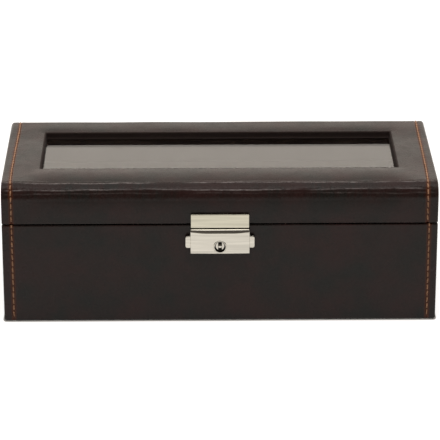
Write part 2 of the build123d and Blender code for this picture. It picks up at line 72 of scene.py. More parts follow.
MM = 0.001
WRAP_LOW, WRAP_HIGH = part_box("lid_wrap")
BASE_LOW, BASE_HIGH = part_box("base_front_cover")
HALF_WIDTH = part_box("lid_right_cover")[1].x
HALF_DEPTH = WRAP_HIGH.y
LEATHER = BASE_HIGH.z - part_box("base_front_board")[1].z
RIM_FOLD = HALF_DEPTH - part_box("base_liner")[1].y
FLOOR_FOLD = BASE_HIGH.y - BASE_LOW.y
GLASS_LOW, GLASS_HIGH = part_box("glass_pane")
GLASS_OVERLAP = 5 * MM
WINDOW_X = GLASS_HIGH.x - GLASS_OVERLAP
WINDOW_FRONT = GLASS_LOW.y + GLASS_OVERLAP
WINDOW_BACK = GLASS_HIGH.y - GLASS_OVERLAP
SKIN = 0.9 * LEATHER
FRONT, RIGHT, BACK, LEFT = -0.5 * math.pi, 0.0, 0.5 * math.pi, math.pi

# Creases along the front bend: millimetres along it, and how strong each one is
CREASES = ((3.6, 1.2), (9.9, 0.85), (12.4, 0.2), (1.3, 0.22))

# Millimetres by which the left and the right seam wander inwards: on the lid at shares of the way from
# back to front, on the base everywhere
LID_WANDER_AT = (0.0, 0.14, 0.42, 0.75, 0.95, 1.0)
LID_WANDER = ((0.5, 0.5, -0.3, -0.8, -0.5, -0.15), (-0.3, -0.3, -0.5, -0.3, 0.25, 0.4))
BASE_WANDER = (-0.1, -0.85)

STAIN_WIDTH = 1.9                       # in half widths of the groove
THREAD_SHADE_FADE = 11 * MM                   # height over which the thread darkens
COVER_ROWS = (9, 9, 25)                 # mesh rows of the cover's lower arc, face and upper arc
COVER_GAP = 6 * MM                      # half width of the gap in the cover's mesh round the keyhole
COVER_GAP_COLUMNS = 12
CONTACT_CORNER = 3 * MM                 # rounding of the shadow right under the box
CONTACT_FADE = (1.4 * MM, 2.1 * MM)     # distances over which that shadow ends


# ------------------------------------------------------------------ settings

def length(name, description, default):
    """A length that a user may change."""
    return FloatProperty(name=name, description=description, default=default, unit="LENGTH", precision=5)


def colour(name, description, default):
    """A colour that a user may change."""
    return FloatVectorProperty(name=name, description=description, default=default, subtype="COLOR",
                               min=0.0, max=1.0)


def factor(name, description, default):
    """A plain factor that a user may change."""
    return FloatProperty(name=name, description=description, default=default, subtype="FACTOR")


class LeatherSettings(PropertyGroup):
    """Leatherette skins of base and lid."""
    front_round: length("Front bend", "Radius of the bend from the lid's front to its top", 11.5 * MM)
    back_round: length("Back bend", "Radius of the lid's upper back edge", 1.6 * MM)
    end_round: length("End rounding", "Radius of the corners at both ends", 1.3 * MM)
    fold_round: length("Fold rounding", "Radius of the folds over rims and floor", 0.8 * MM)
    window_corner: length("Window corner", "Corner radius of the window opening", 1.5 * MM)
    window_round: length("Window edge", "Rounding of the edge round the window", 0.8 * MM)
    window_dip: length("Window dip", "How far the top sinks towards the window", 0.65 * MM)
    window_reach: length("Dip reach", "Distance over which that dip fades", 6.0 * MM)
    back_dip: length("Back dip", "How far it sinks behind the window", 0.30 * MM)
    back_crown: length("Back crown", "Height of the padding behind the window", 0.8 * MM)
    crown: length("Crown", "Height of the padding in front of the window", 0.6 * MM)
    lean: length("Lean", "How far the front swells out below the bend", 0.60 * MM)
    lean_reach: length("Lean reach", "Distance over which it does so", 5.0 * MM)
    hollow: length("Hollow", "How far the front lies back where the bend ends", 0.25 * MM)
    sag: length("Sag", "How far the top has sunk where the bend starts", 0.42 * MM)
    row_step: length("Row step", "Spacing of mesh rows along a skin", 0.8 * MM)
    bend_step: length("Bend step", "Spacing of mesh rows along a bend", 0.21 * MM)
    column_step: length("Column step", "Spacing of mesh columns across a skin", 3.0 * MM)
    unevenness: length("Unevenness", "Height of the gentle waves in the skins", 0.08 * MM)
    crease: length("Creases", "Height of the creases along the front bend", 0.27 * MM)
    crease_width: length("Crease width", "Width of a crease's ridge", 0.42 * MM)
    colour: colour("Leather", "Colour of the leatherette", (0.0138, 0.0091, 0.0080))
    # Partly wear, mostly a painted highlight: the colour of the creases' ridges on the bend
    worn_highlight: colour("Worn creases", "Colour of the leatherette where creases are rubbed", (0.170, 0.148, 0.146))
    roughness: factor("Roughness", "Roughness of the leatherette", 0.26)
    refraction: FloatProperty(name="Refraction", description="Index of refraction of the coating",
                              default=1.33)


class ThreadSettings(PropertyGroup):
    """Decorative seams at both ends of the box."""
    inset: length("Inset", "Distance of the seams from the ends, at the back", 6.0 * MM)
    drift: length("Drift", "How much farther from the ends the seams lie at the front", 0.9 * MM)
    pitch: length("Pitch", "Length of one stitch and its gap", 4.7 * MM)
    gap: length("Gap", "Gap between two stitches", 0.8 * MM)
    radius: length("Radius", "Radius of the thread", 0.46 * MM)
    groove: length("Groove", "Depth of the groove under the thread", 0.42 * MM)
    groove_width: length("Groove width", "Half width of that groove", 0.85 * MM)
    stain: colour("Stain", "Colour of the leatherette beside the thread", (0.060, 0.0150, 0.0045))
    hole: length("Hole", "Further depth of the leather at the holes", 0.25 * MM)
    colour: colour("Thread", "Colour of the thread", (0.49, 0.257, 0.143))
    # Below this height the thread is painted darker: painted shade on the box's fronts, not dirt
    painted_shade_below: length("Bright above", "Height from which the thread is clean and bright", 99 * MM)


class MetalSettings(PropertyGroup):
    """Lock and hinges."""
    nickel: colour("Nickel", "Colour of the lock's plating", (0.72, 0.69, 0.61))
    hasp: colour("Hasp nickel", "Colour of the hasp's plating", (0.67, 0.64, 0.52))
    steel: colour("Steel", "Colour of the inner metal parts", (0.33, 0.32, 0.30))
    # Painted shade: the tongue shows in the gap under the hasp, which lies in shade, so it is made nearly
    # black
    tongue_painted_shade: colour("Blackened steel", "Colour of the tongue behind the hasp", (0.045, 0.043, 0.040))
    roughness: factor("Roughness", "Roughness of the plating", 0.06)
    keyhole_gap: length("Keyhole gap", "Between the barrel and the keyhole", 1.0 * MM)
    keyhole_proud: length("Keyhole rim", "How far the keyhole's rim stands out of the cover", 0.4 * MM)
    bulge: length("Bulge", "How far the cover's face bulges between its sides", 0.3 * MM)
    edge_round: length("Edge rounding", "Radius of the cover's sides and lower edge", 0.9 * MM)
    top_round: length("Top rounding", "Radius of the cover's upper edge in the middle", 3.3 * MM)
    top_round_end: length("Top rounding at the ends", "Radius of the upper edge at both ends", 2.4 * MM)
    shell: length("Shell", "Thickness of the polished skin of the cover", 0.3 * MM)
    shell_lift: length("Shell lift", "How far that skin lies over the cover", 0.03 * MM)


class CushionSettings(PropertyGroup):
    """Velour lining and padded cushions, one in each compartment."""
    shrink: length("Shrink", "How much smaller the cushion starts on each side", 1.6 * MM)
    voxel: length("Voxel", "Voxel size of the remeshed cushion", 4.5 * MM)
    travel: length("Travel", "Longest way that a point may move while it swells", 5.0 * MM)
    pressure: FloatProperty(name="Pressure", description="Pressure inside the cushion", default=4.0)
    frames: IntProperty(name="Frames", description="Frames of the cloth simulation", default=20,
                        subtype="TIME")
    colour: colour("Velour", "Colour of the cushions", (0.030, 0.019, 0.015))
    lining: colour("Lining", "Colour of the velour that lines base and lid", (0.050, 0.033, 0.026))


class StageSettings(PropertyGroup):
    """Camera, floor and light."""
    distance: length("Distance", "From the camera to the middle of the picture", 1.8070)
    lens: FloatProperty(name="Lens", description="Focal length in millimetres", default=215.4)
    pitch: FloatProperty(name="Pitch", description="How far the camera looks down",
                         default=math.radians(21.37), subtype="ANGLE")
    yaw: FloatProperty(name="Yaw", description="How far the camera looks to the right",
                       default=math.radians(0.716), subtype="ANGLE")
    target: FloatVectorProperty(name="Target", description="Point in the middle of the picture",
                                default=(0.02 * MM, -65.5 * MM, 74.7 * MM), unit="LENGTH")
    floor_size: length("Floor size", "Size of the floor", 12.0)
    floor_white: factor("Floor white", "White that the floor adds to its shadow in the picture", 0.72)
    floor_mirrored: factor("Mirrored floor", "White that the floor adds in reflections", 0.42)
    paper_reach: length("Paper reach", "How far in front the floor starts to fade in reflections", 0.35)
    ceiling_power: FloatProperty(name="Ceiling light", description="Power of the softbox over the box",
                                 default=22.0, unit="POWER")
    strip_power: FloatProperty(name="Strip light", description="Power of the narrow lamp over the lid",
                               default=8.0, unit="POWER")
    front_power: FloatProperty(name="Front light", description="Power of the lamp over the front",
                               default=44.0, unit="POWER")


class BoxSettings(PropertyGroup):
    """All settings of the display box."""
    leather: PointerProperty(type=LeatherSettings)
    thread: PointerProperty(type=ThreadSettings)
    metal: PointerProperty(type=MetalSettings)
    cushion: PointerProperty(type=CushionSettings)
    stage: PointerProperty(type=StageSettings)


def settings():
    """The box's settings in the current scene."""
    return bpy.context.scene.watch_box


# ------------------------------------------------------------------ mesh tools

def make_piece(name, points, faces, smooth=True):
    """New mesh object at the origin from arrays of points and of faces with equal corner counts."""
    mesh = bpy.data.meshes.new(name)
    points = np.ascontiguousarray(points.reshape(-1, 3), dtype=np.float64)
    faces = np.ascontiguousarray(faces, dtype=np.int64)
    corners = faces.shape[1]
    mesh.vertices.add(len(points))
    mesh.vertices.foreach_set("co", points.ravel())
    mesh.loops.add(faces.size)
    mesh.loops.foreach_set("vertex_index", faces.ravel())
    mesh.polygons.add(len(faces))
    mesh.polygons.foreach_set("loop_start", np.arange(len(faces)) * corners)
    mesh.polygons.foreach_set("loop_total", np.full(len(faces), corners))
    mesh.polygons.foreach_set("use_smooth", np.full(len(faces), smooth))
    mesh.update(calc_edges=True)
    mesh.validate()
    piece = bpy.data.objects.new(name, mesh)
    bpy.context.scene.collection.objects.link(piece)
    return piece


def mark(piece, name, values):
    """Stores one number for each point."""
    attribute = piece.data.attributes.new(name, "FLOAT", "POINT")
    attribute.data.foreach_set("value", np.ascontiguousarray(values, dtype=np.float64).ravel())


def grid_faces(rows, columns, flip=False):
    """Four-cornered faces of a grid numbered row by row; `flip` turns them over."""
    first = (np.arange(rows - 1)[:, None] * columns + np.arange(columns - 1)[None, :])
    order = [0, columns, columns + 1, 1] if flip else [0, 1, columns + 1, columns]
    return first[..., None] + np.array(order)


def opened_grid(rows, columns, hole, flip=False):
    """Faces of a grid without those in a hole, and the points round the hole in order. The hole is given
    by its first and last row and its left and right column."""
    first, last, left, right = hole
    keep = np.ones((rows - 1, columns - 1), bool)
    keep[first:last, left:right] = False
    index = np.arange(rows * columns).reshape(rows, columns)
    ring = np.concatenate([index[first, left:right], index[first:last, right],
                           index[last, right:left:-1], index[last:first:-1, left]])
    return grid_faces(rows, columns, flip)[keep], ring


def ring_faces(ring, first, count, flip=False):
    """Faces from a ring of points over `count` more rings, whose points are numbered from `first`."""
    ids = np.concatenate([[ring], first + np.arange(count * len(ring)).reshape(count, -1)])
    ahead = np.roll(ids, -1, axis=1)
    corners = (ids[:-1], ahead[:-1], ahead[1:], ids[1:])
    if flip:
        corners = (ids[:-1], ids[1:], ahead[1:], ahead[:-1])
    return np.stack(corners, -1).reshape(-1, 4)


def without_unused(points, faces):
    """The points that faces use, the faces numbered by them, and which of all points they are."""
    used = np.zeros(len(points), bool)
    used[faces.ravel()] = True
    return points[used], (np.cumsum(used) - 1)[faces], used


def outward_from(centre, flat):
    """Unit directions from a centre, or from one centre each, to points in a plane."""
    return (flat - centre) / np.linalg.norm(flat - centre, axis=1)[:, None]


def rounded_path(corners, radii, step, bend_step):
    """Points, outward normals and lengths along straight runs joined by tangent arcs.

    A run is divided evenly at about `step`, an arc at about `bend_step`. An arc of radius r about a
    centre that lies r inside both runs has its points at centre + r * normal, where the normal's angle
    goes evenly from one run's normal to the next one's. The outside lies to the right of the direction
    of travel.
    """
    corners = np.asarray(corners, float)
    runs = np.diff(corners, axis=0)
    headings = np.arctan2(runs[:, 1], runs[:, 0])
    points, angles = [], []
    start = corners[0]
    for i, heading in enumerate(headings):
        ahead = np.array([math.cos(heading), math.sin(heading)])
        out = np.array([math.sin(heading), -math.cos(heading)])
        turn = headings[i + 1] - heading if i + 1 < len(headings) else 0.0
        turn = (turn + math.pi) % (2 * math.pi) - math.pi
        radius = radii[i] if i < len(radii) else 0.0
        end = corners[i + 1] - ahead * radius * abs(math.tan(turn / 2))
        count = max(1, math.ceil(np.linalg.norm(end - start) / step))
        share = np.arange(count)[:, None] / count
        points.append(start + (end - start) * share)
        angles.append(np.full(count, heading - math.pi / 2))
        start = end
        if radius > 0 and abs(turn) > 1e-6:
            side = math.copysign(radius, turn)
            count = max(6, math.ceil(radius * abs(turn) / bend_step))
            angle = heading - math.pi / 2 + turn * np.arange(count) / count
            normal = np.stack([np.cos(angle), np.sin(angle)], 1)
            centre = end - out * side
            points.append(centre + normal * side)
            angles.append(angle)
            last = heading - math.pi / 2 + turn
            start = centre + np.array([math.cos(last), math.sin(last)]) * side
    points.append(start[None, :])
    angles.append(np.array([headings[-1] - math.pi / 2]))
    points, angles = np.concatenate(points), np.concatenate(angles)
    normals = np.stack([np.cos(angles), np.sin(angles)], 1)
    steps = np.hypot(*np.diff(points, axis=0).T)
    return points, normals, np.concatenate([[0.0], np.cumsum(steps)])


def ripple(points, size, seed, waves=28):
    """Gentle unevenness of about -1 to 1: the sum of sine waves in all directions, whose lengths lie
    between 0.6 and 1.7 times `size` and whose directions and phases come from a seeded generator."""
    rng = np.random.default_rng(seed)
    direction = rng.normal(size=(waves, 3))
    direction /= np.linalg.norm(direction, axis=1)[:, None]
    number = 2 * math.pi / (size * rng.uniform(0.6, 1.7, waves))
    phase = rng.uniform(0, 2 * math.pi, waves)
    total = np.sin(points @ (direction * number[:, None]).T + phase).sum(-1)
    return total / math.sqrt(waves)


def smooth_rise(value, low, high):
    """0 below `low`, 1 above `high`, and 3t^2 - 2t^3 between them."""
    t = np.clip((value - low) / (high - low), 0, 1)
    return t * t * (3 - 2 * t)


def add_modifier(piece, kind, **values):
    """Adds a modifier and sets its values."""
    modifier = piece.modifiers.new(kind.title(), kind)
    for key, value in values.items():
        setattr(modifier, key, value)
    return modifier


def thicken(piece, thickness):
    """Closes a skin by giving it its thickness on the inner side."""
    add_modifier(piece, "SOLIDIFY", thickness=thickness, offset=-1.0)


def finish_piece(piece, body, material):
    """Material and body of one piece."""
    piece.data.materials.clear()
    piece.data.materials.append(material)
    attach(piece, body)


def merged_copy(node, name):
    """Copy of a CAD node with its doubled points merged, smooth where faces meet gently."""
    mesh = frame["nodes"][node].data.copy()
    mesh.name = name
    piece = bpy.data.objects.new(name, mesh)
    bpy.context.scene.collection.objects.link(piece)
    build = bmesh.new()
    build.from_mesh(mesh)
    bmesh.ops.remove_doubles(build, verts=build.verts, dist=1e-6)
    build.to_mesh(mesh)
    build.free()
    if "custom_normal" in mesh.attributes:
        mesh.attributes.remove(mesh.attributes["custom_normal"])
    mesh.polygons.foreach_set("use_smooth", np.full(len(mesh.polygons), True))
    mesh.set_sharp_from_angle(angle=math.radians(28))
    mesh.update()
    return piece


def read_points(mesh):
    """All points of a mesh as an array."""
    points = np.empty(len(mesh.vertices) * 3)
    mesh.vertices.foreach_get("co", points)
    return points.reshape(-1, 3)


def middle_of(node):
    """Middle of a CAD node's box."""
    low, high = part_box(node)
    return (low + high) / 2


# ------------------------------------------------------------------ materials

class Nodes:
    """Node tree of a material or of the world, with short calls for its nodes."""

    def __init__(self, tree):
        self.tree = tree
        tree.nodes.clear()

    def feed(self, target, value):
        """Gives a socket its value: another socket to follow, a number, a scale or a colour."""
        if isinstance(value, bpy.types.NodeSocket):
            self.tree.links.new(value, target)
        else:
            target.default_value = (*value, 1.0) if target.type == "RGBA" else value

    def node(self, kind, **values):
        """New node whose sockets, named with _ for a space, have these values."""
        node = self.tree.nodes.new("ShaderNode" + kind)
        for key, value in values.items():
            self.feed(node.inputs[key.replace("_", " ")], value)
        return node

    def spread(self, value, low, high, to_low, to_high, kind="LINEAR"):
        """Maps low..high to to_low..to_high."""
        node = self.node("MapRange", Value=value, From_Min=low, From_Max=high, To_Min=to_low, To_Max=to_high)
        node.interpolation_type = kind
        return node.outputs["Result"]

    def maths(self, operation, *values):
        """One sum of one or two values, each a socket or a number."""
        node = self.node("Math")
        node.operation = operation
        for socket, value in zip(node.inputs, values):
            self.feed(socket, value)
        return node.outputs[0]

    def blend(self, amount, first, second):
        """Colour between two colours, each plain or a socket's."""
        node = self.node("Mix")
        node.data_type = "RGBA"
        self.feed(node.inputs["Factor"], amount)
        for socket, value in zip([s for s in node.inputs if s.type == "RGBA"], (first, second)):
            self.feed(socket, value)
        return [s for s in node.outputs if s.type == "RGBA"][0]

    def axes(self, vector):
        """The X, Y and Z of a vector."""
        return self.node("SeparateXYZ", Vector=vector).outputs


class Shader(Nodes):
    """Nodes of one material. Its patterns read Object coordinates."""

    def __init__(self, name):
        self.material = bpy.data.materials.get(name) or bpy.data.materials.new(name)
        self.material.use_nodes = True
        super().__init__(self.material.node_tree)
        self.surface = self.node("BsdfPrincipled")
        self.node("OutputMaterial", Surface=self.surface.outputs[0])
        self.place = self.node("TexCoord").outputs["Object"]

    def set(self, **values):
        """Gives sockets of the main shader, named with _ for a space, their values."""
        for key, value in values.items():
            self.feed(self.surface.inputs[key.replace("_", " ")], value)

    def noise(self, scale, detail=2.0, roughness=0.5, vector=None):
        """Noise with about `scale` patches in a metre."""
        return self.node("TexNoise", Scale=scale, Detail=detail, Roughness=roughness,
                         Vector=vector or self.place).outputs["Fac"]

    def stretched(self, scale, detail=2.0):
        """Noise with its own number of patches in a metre along each axis."""
        mapping = self.node("Mapping", Scale=scale, Vector=self.place)
        return self.noise(1.0, detail=detail, vector=mapping.outputs["Vector"])

    def cells(self, scale):
        """Distance to the middles of irregular cells."""
        return self.node("TexVoronoi", Scale=scale, Vector=self.place).outputs["Distance"]

    def attribute(self, name):
        """A number stored on the mesh."""
        node = self.node("Attribute")
        node.attribute_name = name
        return node.outputs["Fac"]

    def bump(self, height, distance, strength=1.0, below=None):
        """Bump of `distance` metres, on top of the bump `below`."""
        node = self.node("Bump", Distance=distance, Strength=strength, Height=height)
        if below is not None:
            self.feed(node.inputs["Normal"], below)
        return node.outputs["Normal"]


def shade(base, amount):
    """A colour made lighter or darker by a factor."""
    return tuple(min(1.0, channel * amount) for channel in base)


def leather_material():
    """Dark leatherette: fine pebbled grain, reddish mottling and uneven gloss. On the bend fine wrinkles and
    streaks run across it, and the creases are smoother and painted lighter, partly for wear and mostly as a
    painted highlight along their ridges. The window's wall is painted lighter, as painted light that lifts
    its shade."""
    group = settings().leather
    shader = Shader("leatherette")
    base = tuple(group.colour)
    red, green, blue = base
    bend, worn_highlight = shader.attribute("bend"), shader.attribute("worn_highlight")
    wall, stained = shader.attribute("wall"), shader.attribute("stained")
    mottle = shader.spread(shader.noise(42, detail=4, roughness=0.6), 0.35, 0.65, 0, 1)
    tint = shader.blend(mottle, (red * 0.7, green, blue), (red * 1.5, green, blue * 1.05))
    streaks = shader.spread(shader.stretched((420, 70, 70)), 0.42, 0.62, 0, 0.6)
    streaks = shader.maths("MULTIPLY", streaks, bend)
    tint = shader.blend(streaks, tint, (red * 1.35, green * 0.8, blue * 0.8))
    # Creases painted lighter: partly wear, mostly a painted highlight along their ridges
    rubbed_highlight = shader.spread(shader.stretched((260, 700, 700)), 0.35, 0.6, 0.25, 1.0)
    rubbed_highlight = shader.maths("MINIMUM", shader.maths("MULTIPLY", rubbed_highlight, worn_highlight), 1.0)
    tint = shader.blend(rubbed_highlight, tint, group.worn_highlight)
    tint = shader.blend(stained, tint, settings().thread.stain)
    # Painted light: the window's wall is painted lighter to lift its shade
    tint = shader.blend(wall, tint, shade(base, 1.5))
    smooth, rough = group.roughness - 0.04, group.roughness + 0.06
    gloss = shader.spread(shader.noise(140, detail=3), 0.3, 0.7, smooth, rough)
    gloss = shader.maths("SUBTRACT", gloss, shader.maths("MULTIPLY", rubbed_highlight, 0.08))
    dull = shader.maths("ADD", shader.maths("MULTIPLY", wall, 0.6), shader.maths("MULTIPLY", stained, 0.1))
    wrinkles = shader.maths("MULTIPLY", shader.stretched((560, 330, 330), detail=3), bend)
    relief = shader.bump(wrinkles, 0.0004, 0.8)
    relief = shader.bump(shader.cells(1350), 0.00005, 0.5, relief)
    relief = shader.bump(shader.noise(3000, detail=1), 0.00002, 0.5, relief)
    shader.set(Base_Color=tint, Roughness=shader.maths("ADD", gloss, dull), Normal=relief,
               IOR=group.refraction)
    return shader.material


def thread_material():
    """Waxed orange thread of twisted plies, along the stitch by its own map. It is painted darker below the
    top: painted shade on the fronts, which get less light.
    """
    group = settings().thread
    shader = Shader("thread")
    base = tuple(group.colour)
    lay = shader.node("UVMap")
    lay.uv_map = "UVMap"
    wave = shader.node("TexWave", Scale=2.2, Distortion=0.6, Vector=lay.outputs["UV"])
    wave.bands_direction = "DIAGONAL"
    plies = wave.outputs["Fac"]
    tint = shader.blend(plies, shade(base, 0.62), shade(base, 1.12))
    height = shader.axes(shader.place)["Z"]
    # Painted shade: the thread darkens below the top, where less light falls
    below = shader.spread(height, group.painted_shade_below - THREAD_SHADE_FADE, group.painted_shade_below, 0.65, 0.0)
    shader.set(Base_Color=shader.blend(below, tint, shade(base, 0.45)),
               Normal=shader.bump(plies, 0.00012, 0.8),
               Roughness=0.5, Specular_IOR_Level=0.4, Sheen_Weight=0.15)
    return shader.material


def velour_material(name, base):
    """Short velour: soft pile with brushed lighter and darker patches."""
    shader = Shader(name)
    brushed = shader.spread(shader.noise(38, detail=4, roughness=0.6), 0.35, 0.65, 0, 1)
    shader.set(Base_Color=shader.blend(brushed, shade(base, 0.75), shade(base, 1.35)),
               Normal=shader.bump(shader.noise(4200), 0.0002, 0.6),
               Roughness=0.95, Specular_IOR_Level=0.15, Sheen_Weight=0.35, Sheen_Roughness=0.4,
               Sheen_Tint=shade(base, 9))
    return shader.material


def nickel_material(name, base, roughness, brushed=False, keyhole=None):
    """Plated metal: smudges in the gloss, faint level streaks in its colour, which also serve as painted
    reflections of level lines, and fine lines where it is brushed. The faces inside a keyhole, given by its
    radius and where it starts, are painted nearly black: painted shade in the recess."""
    shader = Shader(name)
    gloss = shader.spread(shader.noise(210, detail=3), 0.3, 0.75, roughness * 0.8, roughness * 1.5)
    # Painted reflection: level streaks in the colour stand in for reflected lines, on top of the plating's
    # own faint streaks
    streaks = shader.spread(shader.stretched((22, 60, 780), detail=3), 0.35, 0.65, 0, 1)
    tint = shader.blend(streaks, shade(base, 0.87), shade(base, 1.06))
    if keyhole:
        # Painted shade: faces deep in the keyhole are painted nearly black
        tint = shader.blend(keyhole_painted_shade(shader, *keyhole), tint, (0.012, 0.011, 0.010))
    lines = shader.stretched((60, 900, 2600) if brushed else (70, 200, 330))
    shader.set(Base_Color=tint, Roughness=gloss, Metallic=1.0,
               Normal=shader.bump(lines, 0.00001 if brushed else 0.00003, 0.4))
    return shader.material


def keyhole_painted_shade(shader, radius, start):
    """Mask of the painted shade in a keyhole: 1 where a face lies within `radius` of the keyhole's axis and
    deeper than `start`.
    """
    middle = middle_of("key_barrel")
    x, y, z = shader.axes(shader.place)
    across, up = shader.maths("SUBTRACT", x, middle.x), shader.maths("SUBTRACT", z, middle.z)
    square = shader.maths("ADD", shader.maths("MULTIPLY", across, across), shader.maths("MULTIPLY", up, up))
    near = shader.maths("LESS_THAN", square, radius ** 2)
    return shader.maths("MULTIPLY", near, shader.maths("GREATER_THAN", y, start))


def glass_material():
    """Clear pane with a faint warm smear of dust in its gloss."""
    shader = Shader("window_glass")
    dust = shader.spread(shader.noise(30, detail=4, roughness=0.7), 0.45, 0.8, 0.0, 0.035)
    shader.set(Base_Color=(0.92, 0.93, 0.92), Roughness=dust, Transmission_Weight=1.0, IOR=1.455)
    return shader.material


def board_material():
    """Raw fibreboard, light brown with fine fibres."""
    shader = Shader("fibreboard")
    fibres = shader.noise(900, detail=4, roughness=0.7)
    shader.set(Base_Color=shader.blend(fibres, (0.30, 0.20, 0.12), (0.50, 0.37, 0.24)),
               Normal=shader.bump(fibres, 0.00006, 0.5), Roughness=0.85)
    return shader.material


def felt_material():
    """Pressed black felt."""
    shader = Shader("felt")
    fibres = shader.noise(1800, detail=5, roughness=0.75)
    shader.set(Base_Color=shader.blend(fibres, (0.012, 0.011, 0.010), (0.045, 0.042, 0.040)),
               Normal=shader.bump(fibres, 0.0002, 0.7), Roughness=1.0, Sheen_Weight=0.2)
    return shader.material


# ------------------------------------------------------------------ leatherette

def seam_distance(y, side, body):
    """Distance of a decorative seam from its end of the box: it grows evenly towards the front, and each
    seam wanders a little."""
    group = settings().thread
    share = (HALF_DEPTH - y) / (2 * HALF_DEPTH)
    left, right = BASE_WANDER
    if body == "lid":
        left, right = (np.interp(share, LID_WANDER_AT, wander) for wander in LID_WANDER)
    return group.inset + group.drift * share + np.where(side < 0, left, right) * MM


def seam_relief(off, along, middle):
    """Height of the leather at a seam, `off` being the distance from it: a groove exp(-(off/w)^2), deeper
    at the holes between two stitches, between two low swellings of the same form."""
    group = settings().thread
    phase = (along - middle) / group.pitch
    from_hole = (phase - np.round(phase)) * group.pitch
    hole = np.exp(-(from_hole / (0.6 * MM)) ** 2)
    groove = (group.groove + group.hole * hole) * np.exp(-(off / group.groove_width) ** 2)
    swelling = (0.11 - 0.05 * hole) * MM * np.exp(-((off - 2.1 * MM) / (0.9 * MM)) ** 2)
    return swelling - groove


def sew(across, y, inset, along, body):
    """Relief and stain at the two seams of a skin. Both fade out on the folds, where `inset`, the way
    inside the outline, goes from 1.5 to 2.5 mm. The stain falls off as exp(-(distance / width)^4)."""
    shown = smooth_rise(-inset, -2.5 * MM, -1.5 * MM)
    off = np.abs(np.abs(across) - (HALF_WIDTH - seam_distance(y, np.sign(across), body)))
    stain = np.exp(-(off / (STAIN_WIDTH * settings().thread.groove_width)) ** 4)
    return seam_relief(off, along[:, None], along[-1] / 2) * shown, stain * shown


def finish_skin(piece, node, body):
    """Thickness, body and finish of one leatherette skin, which stands for a CAD node."""
    thicken(piece, SKIN)
    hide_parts(node)
    finish_piece(piece, body, leather_material())


def corner_drop(into):
    """How far a skin turns in at a rounded corner: r - sqrt(r^2 - d^2), with d the way into it."""
    radius = settings().leather.end_round
    into = np.clip(into, 0, radius)
    return radius - np.sqrt(radius ** 2 - into ** 2)


def seamed_columns():
    """Positions across a skin with seams, closer together under the thread and round the corners. The
    rounding ends at 60 degrees, where the next skin takes over."""
    group, thread = settings().leather, settings().thread
    corner = HALF_WIDTH - group.end_round
    seam = HALF_WIDTH - thread.inset
    fine = seam + np.linspace(-2.2, 2.2, 19) * MM
    plain = fine[0] - 0.8 * MM
    half = np.concatenate([np.linspace(0, plain, math.ceil(plain / group.column_step) + 1), fine,
                           np.linspace(fine[-1], corner, 4)[1:-1],
                           corner + group.end_round * np.sin(np.radians(np.linspace(0, 60, 7)))])
    return np.concatenate([-half[:0:-1], half])


def plain_columns(limit):
    """Positions across a skin without seams, up to `limit`."""
    group = settings().leather
    corner = limit + LEATHER - group.end_round
    half = np.concatenate([np.linspace(0, corner, math.ceil(corner / group.column_step) + 1)[:-1],
                           np.linspace(corner, limit, 6)])
    return np.concatenate([-half[:0:-1], half])


def mitred(across, inset, limit):
    """Draws the ends of folded rows in to a mitre, within a strip next to `limit`."""
    strip = 5 * MM
    start = limit - strip - inset
    place = np.abs(across)
    drawn = start + (place - start) * strip / (strip + inset)
    return np.sign(across) * np.where(place > start, drawn, place)


def along_seam(across, y, body):
    """Moves the columns near a seam along with it, fading out inwards and up to the corner."""
    group, thread = settings().leather, settings().thread
    seam = HALF_WIDTH - thread.inset
    places = [seam - 20 * MM, seam - 3 * MM, seam + 2 * MM, HALF_WIDTH - group.end_round]
    share = np.interp(np.abs(across), places, [0, 1, 1, 0])
    return across - np.sign(across) * (seam_distance(y, np.sign(across), body) - thread.inset) * share


def base_panel(name, node, heading):
    """One side of the base: path from under the floor up and over the rim, drawn across the side. The
    front and the back go round the corners, and the two ends fill in between them."""
    group = settings().leather
    long_side = heading in (FRONT, BACK)
    reach, width = (HALF_DEPTH, HALF_WIDTH) if long_side else (HALF_WIDTH, HALF_DEPTH)
    corners = [(reach - FLOOR_FOLD, BASE_LOW.z), (reach, BASE_LOW.z), (reach, BASE_HIGH.z),
               (reach - RIM_FOLD, BASE_HIGH.z)]
    path, normals, along = rounded_path(corners, [group.fold_round] * 2, group.row_step, group.bend_step)
    inset = reach - path[:, :1]
    if long_side:
        across = seamed_columns()[None, :]
        drop = corner_drop(np.abs(across) - (width - group.end_round))
        hand = -1 if heading == FRONT else 1
        spread = along_seam(mitred(across, inset, width) * -hand, hand * reach, "base") * -hand
    else:
        across = plain_columns(width - LEATHER)[None, :]
        drop = corner_drop(group.end_round - width + np.abs(across))
        spread = mitred(across, inset, width)
    out = path[:, :1] - normals[:, :1] * drop
    height = path[:, 1:] - normals[:, 1:] * drop
    points = turned(out, spread, height, heading)
    outward = turned(normals[:, :1], 0 * spread, normals[:, 1:], heading)
    stained = 0 * spread
    calm = smooth_rise(width - np.abs(across), 0.5 * MM, 6 * MM)
    rise = group.unevenness * ripple(points, 42 * MM, 11) * calm * smooth_rise(normals[:, :1], 0.6, 1.0)
    if long_side:
        relief, stained = sew(-hand * spread, hand * reach, inset, along, "base")
        rise = rise + relief
    points = points + outward * rise[..., None]
    piece = make_piece(name, points, grid_faces(*spread.shape).reshape(-1, 4))
    mark(piece, "stained", stained)
    finish_skin(piece, node, "base")
    return path, normals, along


def turned(out, across, height, heading):
    """Points of a side panel from outward, across and height values, turned to face `heading`."""
    out, across, height = np.broadcast_arrays(out, across, height)
    c, s = round(math.cos(heading)), round(math.sin(heading))
    return np.stack([out * c - across * s, out * s + across * c, height], -1)


